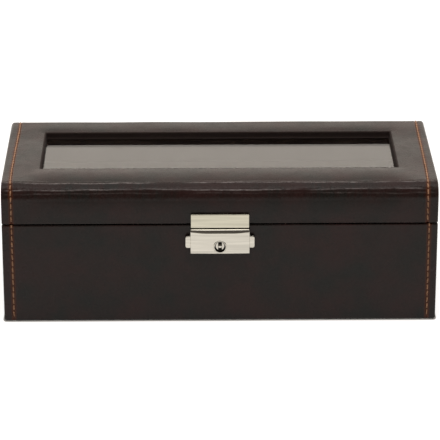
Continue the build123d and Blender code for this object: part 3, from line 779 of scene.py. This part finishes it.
def lid_path():
    """Section of the lid's wrap from the back fold over the top to the front fold, with a row at a small
    distance behind and in front of the window."""
    group = settings().leather
    low, high = WRAP_LOW.z, WRAP_HIGH.z
    border = 2 * group.window_round
    corners = [(HALF_DEPTH - RIM_FOLD, low), (HALF_DEPTH, low), (HALF_DEPTH, high),
               (WINDOW_BACK + border, high), (WINDOW_FRONT - border, high), (-HALF_DEPTH, high),
               (-HALF_DEPTH, low), (RIM_FOLD - HALF_DEPTH, low)]
    radii = [group.fold_round, group.back_round, 0, 0, group.front_round, group.fold_round]
    return rounded_path(corners, radii, group.row_step, group.bend_step)


def window_dip(distance, y):
    """How far the top sinks at a distance from the window: dip * exp(-distance / reach), with its own dip
    behind the window."""
    group = settings().leather
    behind = smooth_rise(y, WINDOW_BACK - 20 * MM, WINDOW_BACK)
    dip = group.window_dip + (group.back_dip - group.window_dip) * behind
    return dip * np.exp(-np.maximum(distance, 0) / group.window_reach)


def padding(across, y, along, start):
    """Height of the padding under the wrap. In front of the window it is a parabola, from its crest down
    to the sag where the bend starts, and a cubic takes it back to nothing along the bend. Where the bend
    ends the front lies back, which another cubic leads up to, and from there it swells out as
    c * (1 - exp(-way / reach)) and goes back to nothing above the seam. All this fades out towards the
    back and before the stitches."""
    group = settings().leather
    crest, reach = WINDOW_FRONT - 8 * MM, 12 * MM
    run = crest - (group.front_round - HALF_DEPTH)
    slope = 2 * (group.crown + group.sag) / run
    end, ramp = 0.5 * math.pi * group.front_round, 9 * MM
    past = (along - start)[:, None] - end
    v = np.clip(1 + past / ramp, 0, 1)
    slant = ramp * group.lean / group.lean_reach
    above = group.hollow * (2 * v ** 3 - 3 * v ** 2) + slant * (v ** 3 - v ** 2)
    below = group.lean * (1 - np.exp(-np.maximum(past, 0) / group.lean_reach)) - group.hollow
    lean = np.where(past > 0, below * (1 - smooth_rise(past, 8 * MM, 15.5 * MM)), above)
    t = np.clip((crest - y) / run, 0, 1)
    u = np.clip((along - start)[:, None] / reach, 0, 1)
    flat = group.crown * (1 - smooth_rise(y, 0, 40 * MM)) - (group.crown + group.sag) * t * t
    bent = -group.sag * (1 - 3 * u ** 2 + 2 * u ** 3) - slope * reach * u * (1 - u) ** 2
    share = smooth_rise(HALF_WIDTH - np.abs(across), 8 * MM, 34 * MM)
    return np.where(u > 0, bent + lean, flat) * share


def back_padding(across, y, up):
    """Height of the padding behind the window, c * (2w - w^2) with w from 0 at the window's edge to 1, and
    a softer rise beside the window. It goes back to nothing on the back, where `up`, the height of the
    normal, is small."""
    w = np.clip((y - WINDOW_BACK) / (14 * MM), 0, 1)
    sharp = 2 * w - w * w
    soft = smooth_rise(y, WINDOW_BACK - 16 * MM, WINDOW_BACK + 14 * MM)
    share = smooth_rise(np.abs(across), WINDOW_X - 4 * MM, WINDOW_X + 8 * MM)
    return settings().leather.back_crown * (sharp + (soft - sharp) * share) * smooth_rise(up, 0.2, 1.0)


def crease_lines(along, start, across):
    """Creases that run along the bend and wander: their height over the skin, and how much it is painted
    lighter there, for wear and as a painted highlight. Each is a ridge exp(-o^2) with a shallow valley below
    it, o being the way from it in ridge widths."""
    group = settings().leather
    place = (along - start)[:, None]
    line = np.stack([across, 0 * across, 0 * across], -1)
    rise, worn_highlight = 0.0, 0.0
    for number, (middle, share) in enumerate(CREASES):
        wander = (0.30 * ripple(line, 75 * MM, 31 + number) + 0.22 * ripple(line, 21 * MM, 41 + number)) * MM
        strength = np.clip(0.75 + 0.5 * ripple(line, 30 * MM, 51 + number), 0.05, 1.5) * share
        off = (place - middle * MM - wander) / group.crease_width
        ridge = strength * np.exp(-off ** 2)
        rise += group.crease * (ridge - 0.3 * strength * np.exp(-((off - 1.9) / 1.4) ** 2))
        worn_highlight += ridge
    return rise, worn_highlight


def lid_wrap():
    """Long piece over the lid: its section drawn across the width, cut out at the window, whose edge turns
    down to the glass. Attributes mark the bend, where the leather is wrinkled, the creases, which are worn
    and carry a painted highlight, the window's wall, which is painted lighter, and the stain beside the
    seams."""
    group = settings().leather
    path, normals, along = lid_path()
    border = 2 * group.window_round
    across = seamed_columns()
    edge = WINDOW_X + border
    for side in (-1, 1):
        across[np.argmin(np.abs(across - side * edge))] = side * edge
    drop = corner_drop(np.abs(across) - (HALF_WIDTH - group.end_round))[None, :]
    folded = path[:, 1] < WRAP_LOW.z + group.fold_round
    inset = np.where(folded, HALF_DEPTH - np.abs(path[:, 0]), 0)[:, None]
    spread = along_seam(mitred(across[None, :], inset, HALF_WIDTH), path[:, :1], "lid")
    points = np.stack([spread, path[:, :1] - normals[:, :1] * drop, path[:, 1:] - normals[:, 1:] * drop], -1)
    outward = np.stack(np.broadcast_arrays(0 * spread, normals[:, :1], normals[:, 1:]), -1)
    gap = np.maximum(np.abs(spread) - WINDOW_X,
                     np.maximum(points[..., 1] - WINDOW_BACK, WINDOW_FRONT - points[..., 1]))
    level = path[:, 1:] > WRAP_HIGH.z - 1e-5
    calm = np.where(level, smooth_rise(gap, border, 9 * MM), 1.0)
    calm = calm * smooth_rise(HALF_WIDTH - np.abs(across), 0.0, 5 * MM) * (inset < 1e-6)
    start = along[np.argmax(path[:, 0] < group.front_round - HALF_DEPTH + 1e-7)]
    creases, worn_highlight = crease_lines(along, start, across)
    rise = (group.unevenness * ripple(points, 45 * MM, 5) + creases) * calm
    rise += padding(spread, path[:, :1], along, start) * (normals[:, 1:] > -0.5)
    ends = smooth_rise(HALF_WIDTH - np.abs(across), 0.2 * MM, 1.8 * MM)
    rise += back_padding(spread, path[:, :1], normals[:, 1:]) * ends
    rise -= window_dip(gap, path[:, :1]) * smooth_rise(normals[:, 1:], 0.5, 1.0)
    relief, stained = sew(spread, path[:, :1], inset, along, "lid")
    rise += relief
    points = points + outward * rise[..., None]
    faces, ring = cut_window(path, across, level[:, 0], edge)
    reveal, reveal_faces = window_edge(points.reshape(-1, 3)[ring], ring, spread.size)
    bend = smooth_rise(-normals[:, :1], 0.05, 0.3) * smooth_rise(normals[:, 1:], -0.05, 0.25) + 0 * spread
    marks = {"bend": (bend, 0), "worn_highlight": (worn_highlight * calm, 0), "wall": (0 * spread, 1), "stained": (stained, 0)}
    points, faces, used = without_unused(np.concatenate([points.reshape(-1, 3), reveal]),
                                         np.concatenate([faces, reveal_faces]))
    piece = make_piece("lid_wrap_leather", points, faces)
    for key, (value, edge_value) in marks.items():
        mark(piece, key, np.concatenate([value.ravel(), np.full(len(reveal), edge_value)])[used])
    finish_skin(piece, "lid_wrap", "lid")
    return path, normals, along


def cut_window(path, across, level, edge):
    """Faces of the wrap without those at the window, and the points round the cut in order."""
    border = 2 * settings().leather.window_round
    y = np.where(level, path[:, 0], np.inf)
    first, last = np.argmin(np.abs(y - WINDOW_BACK - border)), np.argmin(np.abs(y - WINDOW_FRONT + border))
    left, right = np.argmin(np.abs(across + edge)), np.argmin(np.abs(across - edge))
    return opened_grid(len(path), len(across), (first, last, left, right), flip=True)


def window_edge(ring_points, ring, first):
    """Rows from the cut's edge to the glass: for each point, the nearest point c of the window's inner
    rectangle gives a direction n, and the row at offset e from the opening lies at c + (corner + e) n,
    first on the sunken top, then round a quarter circle, then straight down and a little out onto the
    glass."""
    group = settings().leather
    corner, radius = group.window_corner, group.window_round
    flat = ring_points[:, :2]
    low = np.array([corner - WINDOW_X, WINDOW_FRONT + corner])
    centre = np.clip(flat, low, np.array([WINDOW_X - corner, WINDOW_BACK - corner]))
    away = outward_from(centre, flat)
    angle = np.linspace(0, math.pi / 2, 7)[:, None]
    offset = radius * (1 - np.sin(angle))
    sunk = window_dip(offset, flat[None, :, 1]) - window_dip(2 * radius, flat[:, 1])
    height = ring_points[:, 2] - sunk - radius * (1 - np.cos(angle))
    glass = GLASS_HIGH.z + 0.02 * MM
    bead = glass + np.array([[0.62], [0.55], [0.35], [0.0]]) * MM
    wall = height[-1:] + (glass + 0.8 * MM - height[-1:]) * np.array([[0.5], [1.0]])
    height = np.concatenate([height, wall, bead + 0 * wall[:1]])
    offset = np.concatenate([offset, np.array([[0.0], [0.0], [-0.12], [-0.35], [-0.55], [-0.62]]) * MM])
    rows = [np.column_stack([centre + (corner + e) * away, h]) for e, h in zip(offset, height)]
    return np.concatenate(rows), ring_faces(ring, first, len(rows), flip=True)


def lid_end(name, node, side):
    """End of the lid: rows from the fold up to the section's outline, each drawn between the outline's
    front and back. Near the outline the face turns in like the wrap at its corners."""
    group = settings().leather
    low, high = WRAP_LOW.z, WRAP_HIGH.z
    corners = [(HALF_WIDTH - RIM_FOLD, low), (HALF_WIDTH, low), (HALF_WIDTH, low + 3 * MM)]
    fold = rounded_path(corners, [group.fold_round], group.row_step, group.bend_step)[0]
    top = high - LEATHER
    bent = top - 4 * MM * (1 - np.sin(np.linspace(0, math.pi / 2, 12)[1:]))
    wall = np.concatenate([np.linspace(low + 3 * MM, top - 4 * MM, 24)[1:], bent])
    out = np.concatenate([fold[:, 0], np.full(len(wall), HALF_WIDTH)])[:, None]
    z = np.concatenate([fold[:, 1], wall])[:, None]
    inset = HALF_WIDTH - out
    front = -outline_reach(z, group.front_round) + inset
    back = outline_reach(z, group.back_round) - inset
    share = 0.5 - 0.5 * np.cos(np.linspace(0, math.pi, 61))[None, :]
    y = front + (back - front) * share
    z = z + 0 * y
    edge = outline_distance(y, z)
    drop = corner_drop(group.end_round - edge) * (inset < 0.5 * MM)
    calm = smooth_rise(edge, 1.0 * MM, 8 * MM) * smooth_rise(z, low + 1 * MM, low + 5 * MM)
    waves = ripple(np.stack([out + 0 * y, side * y, z], -1), 38 * MM, 7)
    x = out - drop + group.unevenness * waves * calm
    faces = grid_faces(*y.shape, flip=side < 0).reshape(-1, 4)
    piece = make_piece(name, np.stack([side * x, y, z], -1), faces)
    finish_skin(piece, node, "lid")


def outline_reach(z, bend):
    """How far the lid's section, less the leather, reaches at height z on the side with this bend."""
    radius = bend - LEATHER
    rise = np.clip(z - (WRAP_HIGH.z - bend), 0, radius)
    return HALF_DEPTH - bend + np.sqrt(radius ** 2 - rise ** 2)


def outline_distance(y, z):
    """Distance inwards from the lid's outline: to the nearest straight side, or in a bend's quarter the
    bend's radius less the way from its middle."""
    group = settings().leather
    flat = np.minimum(np.minimum(y + HALF_DEPTH, HALF_DEPTH - y), WRAP_HIGH.z - z)
    for radius, side in ((group.front_round, -1), (group.back_round, 1)):
        over = side * y - (HALF_DEPTH - radius)
        up = z - (WRAP_HIGH.z - radius)
        flat = np.where((over > 0) & (up > 0), radius - np.hypot(over, up), flat)
    return flat


# ------------------------------------------------------------------ thread

def stitch_template():
    """One stitch as a grid of rings: position along it from -1 to 1 and angle round it; the ends close
    to a point."""
    along = np.array([-1.0, -0.97, -0.86, -0.6, -0.2, 0.2, 0.6, 0.86, 0.97, 1.0])
    thick = np.sqrt(np.clip(1 - np.abs(along) ** 5, 0, 1))
    thick[[0, -1]] = 0.02
    angle = np.arange(8) * math.pi / 4
    return along, thick, angle


def seam_thread(name, body, runs):
    """All stitches of one body: each is a bent capsule whose middle follows the skin's section and dives
    into the holes at both ends by a share t^8 of half a millimetre, t going from -1 to 1 along it. A run
    has its path, normals, lengths along it and the sign of y."""
    group = settings().thread
    along, thick, angle = stitch_template()
    t = along[None, :]
    lift = 0.55 * group.radius - group.groove + 0.10 * MM * (1 - t ** 4) - 0.5 * MM * t ** 8
    half = (group.pitch - group.gap) / 2
    rng = np.random.default_rng(3)
    blocks, maps = [], []
    for path, normals, lengths, facing in runs:
        span = lengths[[0, -1]]
        first = math.ceil((span[0] - span.mean()) / group.pitch + 0.5)
        centres = span.mean() + (np.arange(first, 1 - first) + 0.5) * group.pitch
        place = centres[:, None] + t * half
        section = np.stack([np.interp(place, lengths, path[:, k]) for k in (0, 1)], -1)
        out = np.stack([np.interp(place, lengths, normals[:, k]) for k in (0, 1)], -1)
        out /= np.linalg.norm(out, axis=-1)[..., None]
        for side in (-1, 1):
            lean = (0.11 + 0.05 * rng.normal(size=len(centres))) * MM
            swell = 1 + 0.06 * rng.normal(size=len(centres))
            radius = group.radius * swell[:, None, None] * thick[:, None]
            up = lift[..., None] + radius * np.cos(angle)
            if body == "lid":
                turning = 4 * out[..., 1:] * (1 - out[..., 1:]) * (section[..., :1] > 0)
                up = up + back_padding(HALF_WIDTH, section[..., :1], out[..., 1:]) - 0.3 * MM * turning
            place_out = section[:, :, None, :] + out[:, :, None, :] * up[..., None]
            y = facing * place_out[..., 0]
            x = side * (HALF_WIDTH - seam_distance(y, side, body) + lean[:, None, None] * t[..., None])
            x = x + 1.12 * radius * np.sin(angle)
            blocks.append(np.stack([x, y, place_out[..., 1]], -1).reshape(-1, 3))
            lay = np.broadcast_arrays(2 * t[..., None] + 2 + 0 * up, angle / math.pi)
            maps.append(np.stack(lay, -1).reshape(-1, 2))
    points, uv = np.concatenate(blocks), np.concatenate(maps)
    ring, around = len(along), len(angle)
    i, j = np.meshgrid(np.arange(ring - 1), np.arange(around), indexing="ij")
    row, beside = i * around, (j + 1) % around
    quad = np.stack([row + j, row + beside, row + around + beside, row + around + j], -1)
    starts = np.arange(len(points) // (ring * around)) * ring * around
    piece = make_piece(name, points, (quad.reshape(1, -1, 4) + starts[:, None, None]).reshape(-1, 4))
    layer = piece.data.uv_layers.new(name="UVMap")
    corner = np.empty(len(piece.data.loops), np.int64)
    piece.data.loops.foreach_get("vertex_index", corner)
    layer.data.foreach_set("uv", uv[corner].ravel())
    close_and_turn_out(piece.data)
    finish_piece(piece, body, thread_material())


def close_and_turn_out(mesh):
    """Closes open ends with small faces and turns all faces outwards."""
    build = bmesh.new()
    build.from_mesh(mesh)
    bmesh.ops.holes_fill(build, edges=[edge for edge in build.edges if edge.is_boundary], sides=0)
    bmesh.ops.recalc_face_normals(build, faces=build.faces)
    build.to_mesh(mesh)
    build.free()


# ------------------------------------------------------------------ lock

def cover_section(reach, low, high, top_round):
    """Section of the cover from its lower edge up over the top: distances outwards, heights and normals.
    Two arcs centre + r * (cos a, sin a) join the underside, the face and the top; `top_round` has one
    radius for each column."""
    edge = settings().metal.edge_round
    lower_rows, face_rows, upper_rows = COVER_ROWS
    lower = np.linspace(-0.5 * math.pi, 0, lower_rows)[:, None]
    upper = np.linspace(0, 0.5 * math.pi, upper_rows)[:, None]
    face = np.linspace(0, 9 * MM, face_rows + 1)[1:, None]
    out = [reach - edge + edge * np.cos(lower) + 0 * top_round, reach + 0 * face + 0 * top_round,
           reach - top_round * (1 - np.cos(upper))]
    height = [low + edge + edge * np.sin(lower) + 0 * top_round, low + edge + face + 0 * top_round,
              high - top_round * (1 - np.sin(upper))]
    angle = np.concatenate([lower, 0 * face, upper])
    return np.concatenate(out), np.concatenate(height), angle


def cover_shell(material):
    """Polished skin over the lock cover: the section drawn across it, bulging by b * (1 - (x / X)^2) and
    turned in at both sides, with a round opening inside the keyhole's rim. The grid has a gap there,
    which three rows fill between its edge and the circle."""
    group = settings().metal
    lift = group.shell_lift
    low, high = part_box("lock_cover")
    reach, half = -low.y - group.keyhole_proud + lift, high.x + lift
    corner = half - group.edge_round + group.edge_round * np.sin(np.radians(np.linspace(0, 90, 9)))
    side = np.concatenate([np.linspace(COVER_GAP, corner[0], 12)[1:-1], corner])
    x = np.concatenate([-side[::-1], np.linspace(-COVER_GAP, COVER_GAP, COVER_GAP_COLUMNS + 1), side])
    flatter = smooth_rise(np.abs(x) / half, 0.5, 1.0)
    top_round = group.top_round + (group.top_round_end - group.top_round) * flatter
    out, height, angle = cover_section(reach, low.z - lift, high.z + lift, top_round[None, :])
    into = np.clip(np.abs(x) - corner[0], 0, group.edge_round)
    drop = group.edge_round - np.sqrt(group.edge_round ** 2 - into ** 2)
    bulged = out - group.bulge * (x / half) ** 2
    y = -(bulged - np.cos(angle) * drop)
    points = np.stack([x + 0 * y, y, height - np.sin(angle) * drop], -1).reshape(-1, 3)
    first = COVER_ROWS[0] - 1
    hole = (first, first + COVER_ROWS[1], len(side), len(side) + COVER_GAP_COLUMNS)
    faces, ring = opened_grid(*y.shape, hole)
    flat = points[ring][:, [0, 2]]
    keyhole = middle_of("key_barrel")
    centre = np.array([keyhole.x, keyhole.z])
    radius = barrel_radius() + group.keyhole_gap + 0.3 * MM
    goal = centre + radius * outward_from(centre, flat)
    inner = []
    for share in (0.35, 0.7, 1.0):
        place = flat + (goal - flat) * share
        bulged = group.bulge * (place[:, 0] / half) ** 2 - reach
        inner.append(np.stack([place[:, 0], bulged, place[:, 1]], -1))
    filling = ring_faces(ring, len(points), len(inner))
    points, faces, _ = without_unused(np.concatenate([points, *inner]), np.concatenate([faces, filling]))
    piece = make_piece("lock_cover_shell", points, faces)
    thicken(piece, group.shell)
    finish_piece(piece, "base", material)


def barrel_radius():
    """Radius of the key barrel."""
    low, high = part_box("key_barrel")
    return (high.x - low.x) / 2


# ------------------------------------------------------------------ operators

def sewn_part(path, normals, along, facing, low=math.inf):
    """The part of a skin's section that is sewn: the outside with the folds for a short way, and all that
    is higher than `low`."""
    inset = HALF_DEPTH - np.abs(path[:, 0])
    sewn = (inset < 1.2 * MM) | (path[:, 1] > low)
    return path[sewn], normals[sewn], along[sewn], facing


class DressBase(Operator):
    """Cover the four sides of the base with leatherette and sew its seams"""
    bl_idname = "watch_box.dress_base"
    bl_label = "Dress base"

    def execute(self, context):
        front = base_panel("base_front_leather", "base_front_cover", FRONT)
        back = base_panel("base_back_leather", "base_back_cover", BACK)
        base_panel("base_left_leather", "base_left_cover", LEFT)
        base_panel("base_right_leather", "base_right_cover", RIGHT)
        seam_thread("base_thread", "base", [sewn_part(*front, -1), sewn_part(*back, 1)])
        return {"FINISHED"}


class DressLid(Operator):
    """Cover the lid with its long wrap and two end pieces, and sew its seams"""
    bl_idname = "watch_box.dress_lid"
    bl_label = "Dress lid"

    def execute(self, context):
        wrap = lid_wrap()
        lid_end("lid_left_leather", "lid_left_cover", -1)
        lid_end("lid_right_leather", "lid_right_cover", 1)
        seam_thread("lid_thread", "lid", [sewn_part(*wrap, 1, WRAP_LOW.z + 1 * MM)])
        return {"FINISHED"}


class FinishLock(Operator):
    """Polish the lock, the hasp and the hinges"""
    bl_idname = "watch_box.finish_lock"
    bl_label = "Finish lock and hinges"

    def execute(self, context):
        group = settings().metal
        nickel = nickel_material("nickel", group.nickel, group.roughness)
        hinge = nickel_material("hinge_nickel", shade(group.nickel, 0.92), 0.24, brushed=True)
        steel = nickel_material("plated_steel", group.steel, 0.3, brushed=True)
        dress_nodes({"nickel": nickel, "hinge_nickel": hinge, "plated_steel": steel})
        # Painted shade: the keyway and the gap round the barrel are painted black from just behind their
        # faces
        barrel_painted_shade = (barrel_radius() + 0.1 * MM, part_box("key_barrel")[0].y + 0.02 * MM)
        cover_painted_shade = (barrel_radius() + group.keyhole_gap + 0.05 * MM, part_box("lock_cover")[0].y + 0.3 * MM)
        cover = nickel_material("cover_nickel", group.nickel, group.roughness, keyhole=cover_painted_shade)
        dress_node("key_barrel", nickel_material("barrel_nickel", group.nickel, group.roughness,
                                                 keyhole=barrel_painted_shade))
        dress_node("lock_cover", cover)
        cover_shell(cover)
        dress_node("hasp_plate", nickel_material("hasp_nickel", group.hasp, group.roughness))
        # Painted shade: the tongue in the gap under the hasp is made nearly black
        dress_node("hasp_tongue", nickel_material("tongue_shade_steel", group.tongue_painted_shade, 0.4, brushed=True))
        for side in ("left", "right"):
            pressed_spring(side, steel)
        return {"FINISHED"}


def pressed_spring(side, finish):
    """Catch spring: a merged copy of its CAD node, which it replaces. Its end towards the post in the middle
    is worked out but not used, so the spring is not shortened.
    """
    node = "catch_spring_" + side
    piece = merged_copy(node, "pressed_spring_" + side)
    finish_piece(piece, "base", finish)
    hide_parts(node)
    low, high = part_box(node)
    anchor = (low + high) / 2
    anchor.x = min(low.x, high.x, key=abs)
    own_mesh(piece)


def dress_node(node, finish):
    """Gives a CAD node, which stays as it is, its material."""
    data = frame["nodes"][node].data
    data.materials.clear()
    data.materials.append(finish)


def dress_nodes(finishes):
    """Gives the CAD nodes with these record slots their materials."""
    for part in frame["record"]["subparts"]:
        if part["material_slot"] in finishes:
            dress_node(part["node"], finishes[part["material_slot"]])


class LineInside(Operator):
    """Give velour, boards, felt and glass their finish"""
    bl_idname = "watch_box.line_inside"
    bl_label = "Line inside"

    def execute(self, context):
        velour = velour_material("velour", tuple(settings().cushion.lining))
        dress_nodes({"velour": velour, "velour_board": velour, "felt": felt_material(),
                     "glass": glass_material(), "fibreboard": board_material()})
        return {"FINISHED"}


class PadCushions(Operator):
    """Make a padded cushion for each compartment"""
    bl_idname = "watch_box.pad_cushions"
    bl_label = "Pad cushions"

    def execute(self, context):
        group = settings().cushion
        nodes = sorted(node for node in frame["nodes"] if node.startswith("cushion_"))
        finish = velour_material("cushion_velour", tuple(group.colour))
        middle = nodes[len(nodes) // 2]
        points, faces = swollen_cushion(middle)
        for node in nodes:
            shift = np.array(middle_of(node) - middle_of(middle))
            piece = make_piece(node + "_padded", points + shift, faces)
            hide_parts(node)
            finish_piece(piece, "base", finish)
        return {"FINISHED"}


def swollen_cushion(node):
    """Points and faces of one cushion after it has swelled under pressure, in the space of its block."""
    group = settings().cushion
    low, high = (np.array(corner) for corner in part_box(node))
    piece = merged_copy(node, "cushion_blank")
    centre = (low + high) / 2
    rest = centre + (read_points(piece.data) - centre) * (1 - 2 * group.shrink / (high - low))
    piece.data.vertices.foreach_set("co", rest.ravel())
    bpy.context.view_layer.objects.active = piece
    remesh = add_modifier(piece, "REMESH", mode="VOXEL", voxel_size=group.voxel)
    bpy.ops.object.modifier_apply(modifier=remesh.name)
    start = read_points(piece.data)
    cloth = piece.modifiers.new("Cloth", "CLOTH")
    cloth.settings.use_pressure = True
    cloth.settings.uniform_pressure_force = group.pressure
    cloth.settings.effector_weights.gravity = 0
    cloth.settings.tension_stiffness = 25
    cloth.settings.compression_stiffness = 25
    for step in range(1, group.frames + 1):
        bpy.context.scene.frame_set(step)
    bpy.ops.object.modifier_apply(modifier="Cloth")
    bpy.context.scene.frame_set(1)
    moved = read_points(piece.data)
    way = moved - start
    far = np.linalg.norm(way, axis=1)[:, None]
    moved = start + way * np.minimum(1, group.travel / np.maximum(far, 1e-9))
    side = 0.25 * MM
    moved[:, 0] = np.clip(moved[:, 0], low[0] + side, high[0] - side)
    moved[:, 1] = np.clip(moved[:, 1], low[1] + side, high[1] - side)
    moved[:, 2] = np.clip(moved[:, 2], low[2] + 0.1 * MM, None)
    piece.data.vertices.foreach_set("co", moved.ravel())
    divide = add_modifier(piece, "SUBSURF", levels=1, render_levels=1)
    bpy.ops.object.modifier_apply(modifier=divide.name)
    points = read_points(piece.data)
    faces = np.empty(len(piece.data.loops), np.int64)
    piece.data.loops.foreach_get("vertex_index", faces)
    mesh = piece.data
    bpy.data.objects.remove(piece)
    bpy.data.meshes.remove(mesh)
    return points, faces.reshape(-1, 4)


class SetStage(Operator):
    """Set the camera, the floor and the light"""
    bl_idname = "watch_box.set_stage"
    bl_label = "Set stage"

    def execute(self, context):
        group = settings().stage
        set_camera(group)
        set_floor(group)
        set_world()
        softbox("ceiling_softbox", (0.0, 0.84, 2.2), (0.0, 0.84, 0.0), (4.5, 1.94), group.ceiling_power)
        softbox("strip_softbox", (0.0, -0.28, 2.2), (0.0, -0.28, 0.0), (3.0, 0.30), group.strip_power)
        front = softbox("front_softbox", (0.0, -0.6, 2.2), (0.0, -0.2, 0.0), (2.4, 1.6), group.front_power)
        front.visible_glossy = False
        context.scene.view_settings.view_transform = "Standard"
        return {"FINISHED"}


def set_camera(group):
    """Camera on the line of sight through the target, with its own up and right directions."""
    cos_p, sin_p = math.cos(group.pitch), math.sin(group.pitch)
    ahead = Vector((math.sin(group.yaw) * cos_p, math.cos(group.yaw) * cos_p, -sin_p))
    right = Vector((math.cos(group.yaw), -math.sin(group.yaw), 0))
    up = right.cross(ahead)
    data = bpy.data.cameras.new("camera")
    data.lens = group.lens
    data.sensor_width = 36
    data.clip_start, data.clip_end = 0.05, 50
    camera = bpy.data.objects.new("camera", data)
    place = Vector(group.target) - ahead * group.distance
    turn = Matrix((right, up, -ahead)).transposed().to_4x4()
    camera.matrix_world = Matrix.Translation(place) @ turn
    bpy.context.scene.collection.objects.link(camera)
    bpy.context.scene.camera = camera


def set_floor(group):
    """White floor that keeps the box's shadow. In the picture and in reflections it is white paper, part
    of whose shadow stays; for light that bounces it is a plain pale surface."""
    half = group.floor_size / 2
    steps = np.linspace(-half, half, 9)
    x, y = np.meshgrid(steps, steps)
    floor = make_piece("floor", np.stack([x, y, 0 * x], -1), grid_faces(9, 9).reshape(-1, 4))
    shader = Shader("floor_paper")
    rays = shader.node("LightPath")
    seen = rays.outputs["Is Camera Ray"]
    mirrored = shader.maths("MAXIMUM", rays.outputs["Is Glossy Ray"], rays.outputs["Is Transmission Ray"])
    paper = shader.blend(shader.maths("MAXIMUM", seen, mirrored), (0.86, 0.83, 0.78), (0.42, 0.41, 0.40))
    x, y, _ = shader.axes(shader.place)
    fade = -group.paper_reach
    lit = shader.spread(y, fade - 0.25, fade, 0.0, group.floor_mirrored)
    white = shader.maths("MULTIPLY", contact_shadow(shader, x, y), group.floor_white)
    glow = shader.maths("ADD", shader.maths("MULTIPLY", seen, white), shader.maths("MULTIPLY", mirrored, lit))
    shader.set(Base_Color=paper, Roughness=1.0, Specular_IOR_Level=0.0, Emission_Color=(1.0, 1.0, 1.0),
               Emission_Strength=glow)
    floor.data.materials.append(shader.material)


def contact_shadow(shader, x, y):
    """0 at the box and 1 a little way off: the distance sqrt(a^2 + b^2) - r from its outline with corners
    of radius r, where the way past an end, a, counts double."""
    beside = shader.maths("SUBTRACT", shader.maths("ABSOLUTE", x), HALF_WIDTH - CONTACT_CORNER / 2)
    beside = shader.maths("MULTIPLY", shader.maths("MAXIMUM", beside, 0.0), 2.0)
    before = shader.maths("SUBTRACT", shader.maths("ABSOLUTE", y), HALF_DEPTH - CONTACT_CORNER)
    before = shader.maths("MAXIMUM", before, 0.0)
    squares = shader.maths("ADD", shader.maths("POWER", beside, 2.0), shader.maths("POWER", before, 2.0))
    away = shader.maths("SUBTRACT", shader.maths("SQRT", squares), CONTACT_CORNER)
    return shader.spread(away, *CONTACT_FADE, 0.0, 1.0)


def set_world():
    """White for the camera. Other rays see a warm white screen behind the box, which fades out between
    30 and 50 degrees above the floor, and a dim room above and in front."""
    world = bpy.data.worlds.new("studio")
    bpy.context.scene.world = world
    world.use_nodes = True
    nodes = Nodes(world.node_tree)
    _, y, z = nodes.axes(nodes.node("TexCoord").outputs["Generated"])
    behind = nodes.spread(y, -0.1, 0.5, 0.0, 1.0, kind="SMOOTHSTEP")
    low = nodes.spread(z, 0.40, 0.80, 1.0, 0.0, kind="SMOOTHSTEP")
    screen = nodes.maths("MULTIPLY", nodes.maths("MULTIPLY", behind, low), 0.98)
    warm = nodes.node("Background", Color=(1.0, 0.905, 0.81), Strength=nodes.maths("ADD", screen, 0.10))
    white = nodes.node("Background", Color=(1.0, 1.0, 1.0), Strength=1.0)
    seen = nodes.node("LightPath").outputs["Is Camera Ray"]
    mix = nodes.node("MixShader")
    for socket, value in zip(mix.inputs, (seen, warm.outputs[0], white.outputs[0])):
        nodes.feed(socket, value)
    nodes.node("OutputWorld", Surface=mix.outputs[0])


def softbox(name, place, aim, size, power):
    """Soft rectangular lamp that points at `aim`, its first side along X."""
    data = bpy.data.lights.new(name, "AREA")
    data.shape = "RECTANGLE"
    data.size, data.size_y = size
    data.energy = power
    data.color = (1.0, 0.97, 0.93)
    lamp = bpy.data.objects.new(name, data)
    way = Vector(aim) - Vector(place)
    lamp.matrix_world = Matrix.Translation(place) @ way.to_track_quat("-Z", "Y").to_matrix().to_4x4()
    bpy.context.scene.collection.objects.link(lamp)
    return lamp


class BoxPanel(Panel):
    """Lists the operators of the display box"""
    bl_idname = "VIEW3D_PT_watch_box"
    bl_label = "Watch display box"
    bl_space_type = "VIEW_3D"
    bl_region_type = "UI"
    bl_category = "Watch box"

    def draw(self, context):
        for operator in OPERATORS:
            self.layout.operator(operator.bl_idname)


OPERATORS = (DressBase, DressLid, FinishLock, LineInside, PadCushions, SetStage)
CLASSES = (LeatherSettings, ThreadSettings, MetalSettings, CushionSettings, StageSettings, BoxSettings,
           *OPERATORS, BoxPanel)


def register():
    """Registers the classes and hangs the settings on the scene."""
    for item in CLASSES:
        bpy.utils.register_class(item)
    bpy.types.Scene.watch_box = PointerProperty(type=BoxSettings)


def unregister():
    """Takes the settings and the classes away again."""
    del bpy.types.Scene.watch_box
    for item in reversed(CLASSES):
        bpy.utils.unregister_class(item)


def main():
    """Makes every piece and the stage."""
    register()
    bpy.ops.watch_box.dress_base()
    bpy.ops.watch_box.dress_lid()
    bpy.ops.watch_box.finish_lock()
    bpy.ops.watch_box.line_inside()
    bpy.ops.watch_box.pad_cushions()
    bpy.ops.watch_box.set_stage()


if __name__ == "__main__":
    main()
